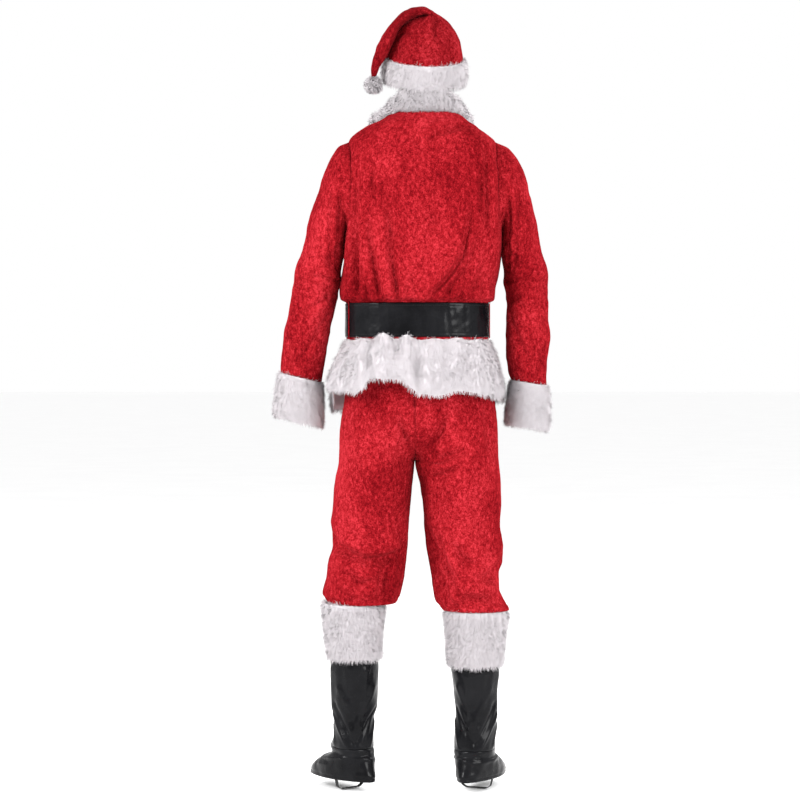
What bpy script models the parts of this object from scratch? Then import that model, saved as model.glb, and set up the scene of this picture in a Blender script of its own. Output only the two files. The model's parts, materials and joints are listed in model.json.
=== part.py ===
"""Costume suit, worn: jacket, belt, trousers, hat and boot covers, as cloth and fur walls.

Every length is in millimetres and every height is above the ground, until build_mesh turns them
into metres with the origin at the base of the neck. +X is the wearer's right, +Y the front.
"""
import math

import bpy
import numpy as np

MOUNT_HEIGHT = 1516.0
CLOTH = 2.0
SEAM = 0.4
LEATHER = 2.4

BACK_COLUMNS = 18
ARMHOLE_STEPS = 7
CUFF_COLUMNS = 18
COLLAR_COLUMNS = 30
HAT_COLUMNS = 18
HEM_COLUMNS = 48
TROUSER_COLUMNS = 8
BOOT_COLUMNS = 16


def table(columns, *rows):
    """One array of numbers for each named column."""
    names = columns.split()
    return {name: np.array([row[i] for row in rows], float) for i, name in enumerate(names)}


# Jacket body, a row for each level: half width and half depth of the ring, and its middle.
TORSO = table(
    "height half_width half_depth centre_x",
    (1030, 163, 122, -8),
    (1121, 163, 122, -8),
    (1126, 170, 132, -8),
    (1133, 176, 142, -8),
    (1150, 178, 145, -8),
    (1185, 180, 143, -2),
    (1219, 180, 140, 3),
    (1276, 177, 138, 8),
    (1357, 172, 135, 9),
    (1424, 171, 128, 8),
    (1465, 170, 120, 5),
    (1488, 167, 113, 2),
    (1502, 156, 107, 0),
    (1514, 139, 101, 0),
    (1527, 120, 94, 2),
    (1537, 101, 87, 6),
    (1548, 85, 79, 9),
    (1560, 68, 68, 10),
)
TORSO_SQUARE = 2.4
JACKET_BOTTOM = 1034.0
BODY_LEVELS = (1034, 1078, 1121, 1126, 1133, 1150, 1180, 1212, 1245)
PIT_HEIGHT, SHOULDER_HEIGHT = 1276.0, 1488.0
ARMHOLE_REACH = 0.072
NECK_ROWS = 4
NECKLINE = table(
    "turn height", (0.0, 1555), (0.1, 1553), (0.18, 1545), (0.25, 1533), (0.36, 1512), (0.5, 1494),
)

# Largest drapes of the jacket, each a soft ridge from one point to another on the back or front.
JACKET_FOLDS = table(
    "x0 h0 x1 h1 width depth side",
    (-150, 1430, -158, 1200, 16, 5, -1),
    (168, 1410, 164, 1200, 16, 5, -1),
    (44, 1525, -4, 1470, 20, 5, -1),
    (113, 1288, 66, 1196, 22, 6, -1),
    (66, 1196, 22, 1128, 22, 7, -1),
    (-71, 1242, -50, 1128, 20, 6, -1),
    (-110, 1265, -88, 1128, 20, 5, -1),
    (120, 1210, 118, 1128, 18, 6, -1),
    (-12, 1350, -6, 1296, 20, 4, -1),
    (110, 1300, 90, 1130, 22, 6, 1),
    (-100, 1290, -84, 1130, 22, 6, 1),
    (30, 1240, 44, 1130, 20, 5, 1),
)

FOLD_RANGE = (1122.0, 1545.0)
FOLD_FADE_LOW, FOLD_FADE_HIGH = 15.0, 25.0

# Sleeves from armhole to wrist: the ring's outer point, its point next to the body, half depth.
SLEEVE_RIGHT = table(
    "outer_x outer_h inner_x inner_h half_depth centre_y",
    (203, 1468, 193, 1282, 76, 0),
    (222, 1445, 194, 1276, 80, 0),
    (239, 1410, 194, 1262, 80, 0),
    (251, 1366, 193, 1243, 78, 0),
    (261, 1312, 193, 1217, 74, 2),
    (272, 1262, 194, 1189, 71, 4),
    (284, 1213, 196, 1156, 69, 6),
    (290, 1160, 198, 1119, 67, 8),
    (293, 1106, 197, 1076, 64, 10),
    (294, 1052, 196, 1031, 61, 12),
    (292, 1002, 199, 988, 57, 14),
    (290, 958, 203, 956, 53, 15),
    (290, 930, 209, 943, 51, 15),
)
SLEEVE_LEFT = table(
    "outer_x outer_h inner_x inner_h half_depth centre_y",
    (-191, 1473, -177, 1282, 76, 0),
    (-207, 1450, -178, 1275, 80, 0),
    (-223, 1416, -180, 1260, 80, 0),
    (-238, 1366, -183, 1240, 78, 0),
    (-252, 1314, -187, 1213, 74, 2),
    (-266, 1264, -191, 1184, 71, 4),
    (-280, 1214, -195, 1150, 69, 6),
    (-292, 1160, -200, 1115, 67, 8),
    (-303, 1108, -207, 1073, 64, 10),
    (-312, 1058, -214, 1029, 61, 12),
    (-319, 1012, -221, 986, 57, 14),
    (-322, 978, -226, 955, 53, 15),
    (-323, 960, -229, 937, 51, 15),
)
SLEEVE_FOLDS = table(
    "along across width depth",
    (0.30, 0.15, 0.055, 5.0),
    (0.44, 0.40, 0.045, 5.0),
    (0.52, 0.05, 0.045, 5.0),
    (0.66, 0.30, 0.045, 4.0),
    (0.80, 0.10, 0.045, 4.0),
)

# Fur pieces: how far the outside stands out from the cloth line, from one edge to the other.
CUFF_PROFILE = table(
    "along out", (0.0, 3), (0.04, 9), (0.2, 13), (0.5, 14), (0.8, 14), (0.96, 10), (1.0, 4),
)
CUFF_LENGTH = 100.0
CUFF_FLARE = 8.0
CUFF_PRESSED = 0.55
COLLAR = table(
    "turn height lean thick",
    (0.0, 54.1, 30, 16),
    (0.07, 46, 26, 16),
    (0.14, 35, 16, 15),
    (0.25, 29, 2, 12),
    (0.38, 28, 6, 13),
    (0.5, 26, 12, 13),
)
COLLAR_GAP = 0.004

# Fur hem, gathered onto the jacket's edge: waves around it and how low each stretch hangs.
HEM_BOTTOM = table(
    "turn height",
    (0.0, 914), (0.06, 908), (0.13, 912), (0.19, 902), (0.26, 896), (0.38, 884),
    (0.5, 880), (0.62, 874), (0.72, 872), (0.78, 922), (0.84, 930), (0.89, 912),
    (0.925, 944), (0.96, 936), (1.0, 914),
)
HEM_FLARE_LEFT, HEM_FLARE_RIGHT, HEM_FLARE_Y = 38.0, 28.0, 46.0
HEM_WAVES, HEM_WAVE = 9, 7.0
HEM_THICK = 11.0

# Belt
BELT_LOW, BELT_HIGH = 1041.0, 1119.0
BELT_OVERLAP = 4.0 / 36.0
LOOP_WIDTH = 6.5
LOOP_THICK = 1.4
LOOPS = (("belt_loop_left", 0.795), ("belt_loop_right", 0.222))
BUCKLE_WIDTH, BUCKLE_HEIGHT, BUCKLE_BAR, BUCKLE_THICK = 88.0, 78.0, 9.0, 3.5

# Trousers: hips above the fork, then each leg's two sides as seen from behind.
HIPS = table(
    "height half_width half_depth centre_x",
    (757, 184, 136, -5),
    (784, 184, 139, -6),
    (856, 178, 139, -4),
    (902, 172, 135, -3),
    (960, 168, 130, -4),
    (1000, 163, 124, -6),
    (1032, 159.6, 118.6, -8),
    (1062, 159.6, 118.6, -8),
)
LEG_LEFT = table(
    "height outer_x inner_x half_depth centre_y",
    (430, -214, -58, 84, 4),
    (453, -226, -47, 90, 4),
    (490, -218, -38, 92, 2),
    (527, -213, -34, 92, 0),
    (563, -203, -31, 93, -2),
    (626, -204, -27, 99, -5),
    (676, -201, -22, 106, -8),
    (724, -194, -17.5, 120, -6),
    (757, -189, -14.4, 130, -3),
    (900, -184, -14.4, 140, 0),
)
LEG_RIGHT = table(
    "height outer_x inner_x half_depth centre_y",
    (414, 204, 50, 82, 4),
    (440, 190, 33, 90, 4),
    (466, 180, 28, 92, 3),
    (499, 180, 23, 92, 2),
    (527, 188, 18, 92, 0),
    (563, 188, 12, 93, -2),
    (612, 182, 8, 98, -5),
    (662, 184, 4, 106, -8),
    (704, 184, -2, 118, -7),
    (757, 179, -13.6, 130, -3),
    (900, 174, -13.6, 140, 0),
)
FORK_HEIGHT, FORK_CURVE_TOP, MID_X = 757.0, 890.0, -14.0
FORK_STEPS = (0.0, 0.05, 0.17, 0.38, 0.66, 1.0)
HIP_LEVELS = (930, 965, 1000, 1032, 1061.6)
LEG_ROWS = 12
WAIST_LOW, WAIST_HIGH = 1062.0, 1098.0
TROUSER_FOLDS = table(
    "x0 h0 x1 h1 width depth side",
    (-202, 616, -140, 534, 18, 8, -1),
    (-140, 534, -60, 566, 18, 8, -1),
    (-60, 566, -34, 605, 16, 6, -1),
    (80, 531, 125, 520, 18, 7, -1),
    (125, 520, 172, 545, 18, 7, -1),
    (24, 610, 46, 520, 15, 5, -1),
    (46, 520, 80, 458, 16, 6, -1),
    (115, 474, 196, 420, 18, 8, -1),
    (-160, 480, -80, 470, 20, 7, -1),
    (-180, 560, -100, 520, 20, 7, 1),
    (60, 560, 140, 515, 20, 7, 1),
    (-170, 700, -120, 560, 18, 4, -1),
    (60, 720, 120, 600, 18, 4, -1),
)

# Hat. The band is a tilted ring; the crown's rings fan over a fold into the tail.
HAT_X, BAND_HALF_WIDTH, BAND_HALF_DEPTH, BAND_THICK, BAND_HEIGHT = 8.0, 101.0, 114.0, 12.0, 62.0
BAND_BACK_HEIGHT, BAND_RISE_FRONT, BAND_RISE_LEFT = 1606.0, 0.30, 0.04
CROWN = table(
    "inner_x inner_h outer_x outer_h half_depth centre_y rise",
    (-75, 1716, 94, 1708, 97, 0, 0.30),
    (-67, 1733, 86, 1731, 89, 0, 0.28),
    (-53, 1749, 76, 1754, 79, -1, 0.24),
    (-32, 1763, 62, 1771, 68, -2, 0.18),
    (-8, 1770, 48, 1781, 58, -4, 0.12),
    (19, 1776, 41, 1788, 54, -6, 0.06),
    (9, 1785, 17, 1801, 50, -10, 0),
    (-14, 1780, -14, 1801, 45, -15, 0),
    (-36, 1769, -43, 1788, 39, -26, 0),
    (-58, 1752, -69, 1762, 35, -33, 0),
    (-75, 1731, -90, 1735, 31, -39, 0),
    (-89, 1706, -104, 1709, 26, -44, 0),
    (-98, 1680, -114, 1680, 21, -48, 0),
    (-104, 1656, -117, 1656, 15, -51, 0),
    (-105, 1643, -115, 1643, 11, -52, 0),
)
CROWN_FOLD_ROW = 5
HAT_CLOTH = 1.6
POMPOM_X, POMPOM_Y, POMPOM_H, POMPOM_RADIUS = -110.0, -52.0, 1621.6, 20.8

# Boot covers: shaft rings, fur round the top, a foot piece and a strap under the sole.
SHAFT_LEFT = table(
    "height centre_x half_width half_depth centre_y",
    (101, -153, 45, 52, -12),
    (130, -153, 45, 50, -10),
    (165, -154, 46, 50, -6),
    (198, -152, 53, 56, -4),
    (297, -153, 56, 63, -2),
    (360, -155, 59, 68, 0),
    (426, -156, 62, 71, 2),
)
SHAFT_RIGHT = table(
    "height centre_x half_width half_depth centre_y",
    (96, 122, 46, 52, -12),
    (130, 124, 46, 50, -10),
    (178, 127, 47, 50, -6),
    (230, 125, 50, 56, -4),
    (284, 125, 57, 63, -2),
    (345, 126, 60, 68, 0),
    (410, 127, 63, 71, 2),
)
BOOT_FUR_PROFILE = table(
    "along out", (0.0, 3), (0.05, 5), (0.35, 8), (0.7, 12), (0.94, 16), (1.0, 13),
)
FOOT = table(
    "drop forward half_length half_width",
    (0.0, 0, 52, 46),
    (0.18, 4, 56, 47),
    (0.42, 22, 80, 49),
    (0.65, 36, 100, 50),
    (0.85, 42, 110, 49),
    (1.0, 44, 112, 47),
)
FOOT_LOW = 26.0
BOOTS = (
    ("left", SHAFT_LEFT, 294.0, 430.0, -38.0),
    ("right", SHAFT_RIGHT, 278.0, 414.0, 22.0),
)
STRAP_WIDTH, STRAP_THICK, STRAP_LOW, STRAP_FORWARD, STRAP_REACH = 10.0, 1.4, 2.5, 26.0, 39.4

# Colour, roughness and metallic value of each material.
MATERIALS = {
    "red_velvet": ((0.50, 0.006, 0.012), 0.55, 0.0),
    "white_fur": ((0.86, 0.84, 0.86), 0.95, 0.0),
    "black_vinyl": ((0.012, 0.012, 0.014), 0.22, 0.0),
    "buckle_metal": ((0.75, 0.52, 0.16), 0.30, 1.0),
    "black_elastic": ((0.02, 0.02, 0.02), 0.80, 0.0),
}


def smooth(xs, ys, x):
    """Value at x of the monotone cubic curve through the points (xs, ys)."""
    step = np.diff(xs)
    slope = np.diff(ys) / step
    both = slope[:-1] * slope[1:]
    total = slope[:-1] + slope[1:]
    middle = np.where(both > 0, 2 * both / np.where(both > 0, total, 1.0), 0.0)
    tangent = np.concatenate(([slope[0]], middle, [slope[-1]]))
    x = np.asarray(x, float)
    i = np.clip(np.searchsorted(xs, x) - 1, 0, len(step) - 1)
    t = np.clip((x - xs[i]) / step[i], 0.0, 1.0)
    low = ys[i] * (1 + 2 * t) * (1 - t) ** 2 + tangent[i] * step[i] * t * (1 - t) ** 2
    high = ys[i + 1] * t * t * (3 - 2 * t) + tangent[i + 1] * step[i] * t * t * (t - 1)
    return low + high


def read(source, column, x, by="height"):
    """A table's column at x, read along the column named by."""
    return smooth(source[by], source[column], x)


def power(value, square):
    """Signed power that squares off an ellipse."""
    return np.sign(value) * np.abs(value) ** (2.0 / square)


def stack(x, y, z):
    """Points from three arrays of the same shape."""
    x, y, z = np.broadcast_arrays(x, y, z)
    return np.stack((x, y, z), axis=-1).astype(float)


def normals(grid, closed):
    """Unit normals of a grid of points, away from the middle of each row."""
    across = np.gradient(grid, axis=1)
    if closed:
        across = np.roll(grid, -1, axis=1) - np.roll(grid, 1, axis=1)
    along = np.gradient(grid, axis=0)
    normal = np.cross(across, along)
    normal /= np.maximum(np.linalg.norm(normal, axis=-1, keepdims=True), 1e-9)
    away = grid - grid.mean(axis=1, keepdims=True)
    return normal * (1.0 if np.sum(normal * away) > 0 else -1.0)


def fold_lift(points, folds, low=-1e9, high=1e9):
    """How far the folds raise each point, fading out toward the heights low and high."""
    lift = np.zeros(points.shape[:-1])
    for i in range(len(folds["x0"])):
        start = np.array((folds["x0"][i], folds["h0"][i]))
        run = np.array((folds["x1"][i], folds["h1"][i])) - start
        place = points[..., (0, 2)] - start
        t = np.clip(place @ run / (run @ run), 0.0, 1.0)
        distance = np.linalg.norm(place - t[..., None] * run, axis=-1)
        facing = np.clip(points[..., 1] * folds["side"][i] / 60.0, 0.0, 1.0)
        lift += folds["depth"][i] * np.exp(-((distance / folds["width"][i]) ** 2)) * facing
    above = np.clip((points[..., 2] - low) / FOLD_FADE_LOW, 0.0, 1.0)
    below = np.clip((high - points[..., 2]) / FOLD_FADE_HIGH, 0.0, 1.0)
    return lift * above * below


def material(name):
    """The named Principled material."""
    made = bpy.data.materials.get(name)
    if made is None:
        colour, rough, metallic = MATERIALS[name]
        made = bpy.data.materials.new(name)
        made.use_nodes = True
        shader = made.node_tree.nodes["Principled BSDF"]
        shader.inputs["Base Color"].default_value = (*colour, 1.0)
        shader.inputs["Roughness"].default_value = rough
        shader.inputs["Metallic"].default_value = metallic
        made.diffuse_color = (*colour, 1.0)
    return made


def build_mesh(name, points, faces, finish):
    """One named object from points in millimetres, its faces turned outward."""
    points = np.asarray(points, float)
    volume = 0.0
    for face in faces:
        for k in range(1, len(face) - 1):
            a, b, c = points[face[0]], points[face[k]], points[face[k + 1]]
            volume += a @ np.cross(b, c)
    if volume < 0:
        faces = [tuple(reversed(face)) for face in faces]
    placed = (points - np.array((0.0, 0.0, MOUNT_HEIGHT))) / 1000.0
    mesh = bpy.data.meshes.new(name)
    mesh.from_pydata(placed.tolist(), [], faces)
    mesh.validate()
    mesh.shade_smooth()
    mesh.set_sharp_from_angle(angle=math.radians(50))
    mesh.materials.append(material(finish))
    made = bpy.data.objects.new(name, mesh)
    bpy.context.scene.collection.objects.link(made)
    return made


def wall(name, outer, inner, finish, closed=False, capped=False):
    """A closed wall between two grids of points; capped shuts its last row."""
    rows, columns = outer.shape[:2]
    count = rows * columns
    faces = []
    steps = columns if closed else columns - 1

    def at(layer, row, column):
        return layer * count + row * columns + column % columns

    for column in range(steps):
        for row in range(rows - 1):
            outer_face = [at(0, row, column), at(0, row, column + 1),
                          at(0, row + 1, column + 1), at(0, row + 1, column)]
            faces.append(tuple(outer_face))
            faces.append(tuple(count + corner for corner in reversed(outer_face)))
        faces.append((at(0, 0, column + 1), at(0, 0, column), at(1, 0, column), at(1, 0, column + 1)))
        if not capped:
            last = rows - 1
            faces.append((at(0, last, column), at(0, last, column + 1),
                          at(1, last, column + 1), at(1, last, column)))
    if capped:
        last = [at(0, rows - 1, column) for column in range(columns)]
        faces.append(tuple(last))
        faces.append(tuple(count + corner for corner in reversed(last)))
    if not closed:
        for row in range(rows - 1):
            end = columns - 1
            faces.append((at(0, row, 0), at(0, row + 1, 0), at(1, row + 1, 0), at(1, row, 0)))
            faces.append((at(0, row + 1, end), at(0, row, end), at(1, row, end), at(1, row + 1, end)))
    points = np.concatenate((outer.reshape(-1, 3), inner.reshape(-1, 3)))
    return build_mesh(name, points, faces, finish)


def cloth(name, outer, finish="red_velvet", closed=False, thick=CLOTH, capped=False):
    """A wall of even thickness inside a grid of outer points."""
    return wall(name, outer, inside(outer, thick, closed), finish, closed, capped)


def inside(outer, thick=CLOTH, closed=False, level_ends=(True, True), seams=(None, None)):
    """Inner points of a wall; level_ends keeps its end rows level, seams the axis each side keeps."""
    inner = outer - thick * normals(outer, closed)
    for column, axis in zip((0, -1), seams):
        if axis is not None:
            inner[:, column, axis] = outer[:, column, axis]
    for row, level in zip((0, -1), level_ends):
        if level:
            inner[row, :, 2] = outer[row, :, 2]
    return inner


def torso_surface(turn, height, out=0.0):
    """Jacket surface; turn runs 0 back, 0.25 right side, 0.5 front, 0.75 left side."""
    angle = 2 * math.pi * np.asarray(turn, float)
    half_width = read(TORSO, "half_width", height) + out
    half_depth = read(TORSO, "half_depth", height) + out
    x = read(TORSO, "centre_x", height) + half_width * power(np.sin(angle), TORSO_SQUARE)
    y = -half_depth * power(np.cos(angle), TORSO_SQUARE)
    return stack(x, y, height)


def neck_height(turn):
    """Height of the neckline at a turn."""
    return smooth(NECKLINE["turn"], NECKLINE["height"], 0.5 - np.abs((np.asarray(turn) % 1.0) - 0.5))


def jacket_rows(first_turn, last_turn, columns):
    """Outer points of a body panel between two turns, cut back round the armholes."""
    spread = np.linspace(0.0, 1.0, columns + 1)
    rows = []
    side_first = abs((first_turn % 0.5) - 0.25) < 0.01
    side_last = abs((last_turn % 0.5) - 0.25) < 0.01

    def row_turns(reach):
        begin = first_turn + (reach if side_first else 0.0)
        end = last_turn - (reach if side_last else 0.0)
        return begin + (end - begin) * spread

    for level in BODY_LEVELS:
        rows.append(torso_surface(row_turns(0.0), np.full(columns + 1, float(level))))
    for step in range(ARMHOLE_STEPS, -1, -1):
        level, reach = armhole_edge(step)
        rows.append(torso_surface(row_turns(reach), np.full(columns + 1, level)))
    for step in range(1, NECK_ROWS + 1):
        turns = row_turns(0.0)
        level = SHOULDER_HEIGHT + (neck_height(turns) - SHOULDER_HEIGHT) * step / NECK_ROWS
        rows.append(torso_surface(turns, level))
    grid = np.array(rows)
    return grid + normals(grid, False) * fold_lift(grid, JACKET_FOLDS, *FOLD_RANGE)[..., None]


def armhole_edge(step):
    """Height and reach, in turns from the side, of the armhole; step 0 is the shoulder."""
    angle = math.pi * step / ARMHOLE_STEPS
    middle = (PIT_HEIGHT + SHOULDER_HEIGHT) / 2
    radius = (SHOULDER_HEIGHT - PIT_HEIGHT) / 2
    return middle + radius * math.cos(angle), ARMHOLE_REACH * math.sin(angle)


def jacket_body():
    """Back and two fronts, a seam's gap apart at the sides and the centre front."""
    gap = 0.00022
    pit_row = len(BODY_LEVELS)
    shoulder_row = pit_row + ARMHOLE_STEPS
    panels = (
        ("jacket_back", -0.25 + gap, 0.25 - gap, BACK_COLUMNS, (1, 1)),
        ("jacket_front_right", 0.25 + gap, 0.5 - gap, BACK_COLUMNS // 2, (1, 0)),
        ("jacket_front_left", 0.5 + gap, 0.75 - gap, BACK_COLUMNS // 2, (0, 1)),
    )
    edges = {}
    for name, first, last, columns, seams in panels:
        outer = jacket_rows(first, last, columns)
        inner = inside(outer, level_ends=(True, False))
        for column, axis in zip((0, -1), seams):
            rows = [r for r in range(len(outer)) if axis == 0 or not pit_row < r < shoulder_row]
            inner[rows, column, axis] = outer[rows, column, axis]
        wall(name, outer, inner, "red_velvet")
        edges[name] = (outer, inner)
    return edges


def armhole_ring(edges, right):
    """Outer and inner points round an armhole: shoulder, down the back, pit, up the front."""
    pit_row = len(BODY_LEVELS)
    shoulder_row = pit_row + ARMHOLE_STEPS
    back_column = -1 if right else 0
    front_name = "jacket_front_right" if right else "jacket_front_left"
    front_column = 0 if right else -1
    rings = []
    for layer in (0, 1):
        back = edges["jacket_back"][layer][:, back_column]
        front = edges[front_name][layer][:, front_column]
        down = [back[row] for row in range(shoulder_row, pit_row, -1)]
        up = [front[row] for row in range(pit_row, shoulder_row)]
        down[0] = (back[shoulder_row] + front[shoulder_row]) / 2
        up[0] = (back[pit_row] + front[pit_row]) / 2
        ring = np.array(down + up)
        centre = ring.mean(axis=0)
        toward = centre - ring
        rings.append(ring + toward / np.linalg.norm(toward, axis=1, keepdims=True) * (SEAM + 0.2))
    return rings


def fan_ring(source, i, angles, square=2.1):
    """One ring between an outer and an inner point, its depth along Y; angle 0 is the outer one."""
    outer = np.array((source["outer_x"][i], source["outer_h"][i]))
    inner = np.array((source["inner_x"][i], source["inner_h"][i]))
    middle, half = (outer + inner) / 2, (outer - inner) / 2
    c, s = power(np.cos(angles), square), power(np.sin(angles), square)
    y = -source["half_depth"][i] * s
    rise = source["rise"][i] * y if "rise" in source else 0.0
    return stack(middle[0] + half[0] * c, source["centre_y"][i] + y, middle[1] + half[1] * c + rise)


def sleeve(name, source, edges, right):
    """A sleeve from its armhole to the wrist, with soft folds round the elbow."""
    count = 2 * ARMHOLE_STEPS
    angles = 2 * math.pi * np.arange(count) / count
    rings = [fan_ring(source, i, angles) for i in range(len(source["outer_x"]))]
    hole_outer, hole_inner = armhole_ring(edges, right)
    outer = np.array([hole_outer] + rings)
    lift = np.zeros(outer.shape[:2])
    along = np.linspace(0.0, 1.0, len(outer))[:, None]
    across = (np.arange(count) / count)[None, :]
    for i in range(len(SLEEVE_FOLDS["along"])):
        near = np.abs((across - SLEEVE_FOLDS["across"][i] + 0.5) % 1.0 - 0.5)
        reach = ((along - SLEEVE_FOLDS["along"][i]) / SLEEVE_FOLDS["width"][i]) ** 2
        lift += SLEEVE_FOLDS["depth"][i] * np.exp(-reach - (near / 0.16) ** 2)
    lift[0] = lift[-1] = 0.0
    outward = normals(outer, True)
    outer = outer + outward * lift[..., None]
    inner = outer - CLOTH * normals(outer, True)
    inner[0] = hole_inner
    spokes = outer[-1] - outer[-1].mean(axis=0)
    inner[-1] = outer[-1] - CLOTH * spokes / np.linalg.norm(spokes, axis=1, keepdims=True)
    wall(name, outer, inner, "red_velvet", closed=True)
    return outer[-1], inner[-1], outer[-1].mean(axis=0) - outer[-2].mean(axis=0)


def finer(ring, count):
    """A closed ring resampled to count points by a smooth periodic curve."""
    steps = len(ring)
    spectrum = np.fft.rfft(ring, axis=0)
    turns = np.arange(count) / count
    out = np.zeros((count, 3))
    for k in range(len(spectrum)):
        weight = (1.0 if k in (0, steps / 2) else 2.0) / steps
        phase = np.exp(2j * math.pi * k * turns)[:, None]
        out += weight * np.real(spectrum[k] * phase)
    return out


def cuff(name, end_outer, end_inner, axis):
    """A thick fur ring butted onto the sleeve's end."""
    axis = axis / np.linalg.norm(axis)
    outer_ring = finer(end_outer, CUFF_COLUMNS)
    inner_ring = finer(end_inner, CUFF_COLUMNS)
    centre = outer_ring.mean(axis=0)
    radial = outer_ring - centre
    radial /= np.linalg.norm(radial, axis=1, keepdims=True)
    pressed = 1.0 - CUFF_PRESSED * np.clip(-radial[:, :1] * np.sign(centre[0]), 0.0, 1.0) ** 2
    outer, inner = [], []
    for along, out in zip(CUFF_PROFILE["along"], CUFF_PROFILE["out"]):
        shift = axis * (SEAM + along * CUFF_LENGTH)
        outer.append(outer_ring + shift + radial * (out + CUFF_FLARE * along) * pressed)
        inner.append(inner_ring + shift + radial * CUFF_FLARE * along * pressed)
    wall(name, np.array(outer), np.array(inner), "white_fur", closed=True)


def collar():
    """A rolled fur collar on the neckline, open at the centre front."""
    turns = 0.5 + COLLAR_GAP + (1 - 2 * COLLAR_GAP) * np.linspace(0.0, 1.0, COLLAR_COLUMNS + 1)
    fold = 0.5 - np.abs((turns % 1.0) - 0.5)
    level = neck_height(turns)
    base = torso_surface(turns, level)
    beside = torso_surface(turns, level, 10.0)
    out = beside - base
    out[:, 2] = 0.0
    out /= np.linalg.norm(out, axis=1, keepdims=True)
    up = np.array((0.0, 0.0, 1.0))
    height = smooth(COLLAR["turn"], COLLAR["height"], fold)[:, None]
    lean = smooth(COLLAR["turn"], COLLAR["lean"], fold)[:, None]
    thick = smooth(COLLAR["turn"], COLLAR["thick"], fold)[:, None]

    def place(across, rise):
        return base + out * (lean * rise + thick * across) + up * (height * rise + SEAM + 0.3)

    outer = [place(0.35, 0.0), place(0.85, 0.06), place(1.0, 0.35), place(0.9, 0.75), place(0.5, 0.97)]
    inner = [place(-0.1, 0.0), place(-0.15, 0.1), place(-0.1, 0.4), place(0.0, 0.8), place(0.2, 0.97)]
    wall("collar", np.array(outer), np.array(inner), "white_fur")


def fur_hem():
    """The gathered fur edge below the belt, waving more the lower it hangs."""
    turns = np.arange(HEM_COLUMNS) / HEM_COLUMNS
    bottom = smooth(HEM_BOTTOM["turn"], HEM_BOTTOM["height"], turns)
    angle = 2 * math.pi * turns
    top = JACKET_BOTTOM - SEAM
    wave = np.sin(HEM_WAVES * angle + 0.6) + 0.35 * np.sin((2 * HEM_WAVES + 1) * angle + 1.9)
    edge = torso_surface(turns, np.full(HEM_COLUMNS, JACKET_BOTTOM), -CLOTH)
    flare_x = np.where(np.sin(angle) > 0, HEM_FLARE_RIGHT, HEM_FLARE_LEFT)
    radial = stack(np.sin(angle) * flare_x, -np.cos(angle) * HEM_FLARE_Y, 0.0 * angle)
    unit = radial / np.linalg.norm(radial, axis=1, keepdims=True)
    outer, inner = [], []
    for drop, out in ((0, 4), (0.05, 9), (0.25, HEM_THICK), (0.5, HEM_THICK), (0.75, HEM_THICK),
                      (0.94, 9), (1.0, 5)):
        height = top + (bottom - top) * drop
        flare = radial * math.sin(drop * math.pi / 2) + unit * (HEM_WAVE * drop * (wave - 0.2))[:, None]
        line = edge + flare
        line[:, 2] = height
        inner.append(line)
        outer.append(line + unit * out)
    wall("fur_hem", np.array(outer), np.array(inner), "white_fur", closed=True)


def belt():
    """Strap lapped at the front, with a plain frame buckle, its prong, and two cloth loops."""
    segment = 0.5 / BACK_COLUMNS
    columns = round((1 + BELT_OVERLAP) / segment)
    turns = 0.5 - BELT_OVERLAP / 2 + segment * np.arange(columns + 1)
    ramp = np.clip((turns - turns[0] - 1.0 + segment) / segment, 0.0, 1.0)
    gap = SEAM + (LEATHER + SEAM) * ramp * ramp * (3 - 2 * ramp)
    outer, inner = [], []
    for level in (BELT_LOW, BELT_HIGH):
        height = np.full(columns + 1, level)
        inner.append(torso_surface(turns, height, gap))
        outer.append(torso_surface(turns, height, gap + LEATHER))
    wall("belt_strap", np.array(outer), np.array(inner), "black_vinyl")
    buckle()
    for name, turn in LOOPS:
        belt_loop(name, turn)


def buckle():
    """A rectangular frame over the lapped strap, and its prong."""
    front = float(torso_surface(0.5, BELT_LOW)[1]) + 2 * (LEATHER + SEAM) + SEAM
    centre_x = float(read(TORSO, "centre_x", BELT_LOW))
    centre_h = (BELT_LOW + BELT_HIGH) / 2
    corners = ((-1, -1), (1, -1), (1, 1), (-1, 1))
    rings = []
    for inset, y in ((0.0, front), (0.0, front + BUCKLE_THICK),
                     (BUCKLE_BAR, front + BUCKLE_THICK), (BUCKLE_BAR, front)):
        rings.append([(centre_x + sx * (BUCKLE_WIDTH / 2 - inset), y,
                       centre_h + sz * (BUCKLE_HEIGHT / 2 - inset)) for sx, sz in corners])
    faces = []
    for layer in range(4):
        following = (layer + 1) % 4
        for k in range(4):
            faces.append((layer * 4 + k, layer * 4 + (k + 1) % 4,
                          following * 4 + (k + 1) % 4, following * 4 + k))
    build_mesh("belt_buckle", np.array(rings).reshape(-1, 3), faces, "buckle_metal")
    reach = BUCKLE_WIDTH / 2 - 1
    low, high = front + BUCKLE_THICK + SEAM, front + BUCKLE_THICK + SEAM + 3.0
    grid = [[(centre_x + x, y, centre_h + z) for x in (-reach, reach)]
            for y, z in ((low, -2.5), (low, 2.5), (high, 2.5), (high, -2.5))]
    prong = np.array(grid).reshape(-1, 3)
    faces = [(0, 1, 3, 2), (2, 3, 5, 4), (4, 5, 7, 6), (6, 7, 1, 0), (0, 2, 4, 6), (7, 5, 3, 1)]
    build_mesh("buckle_prong", prong, faces, "buckle_metal")


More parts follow.
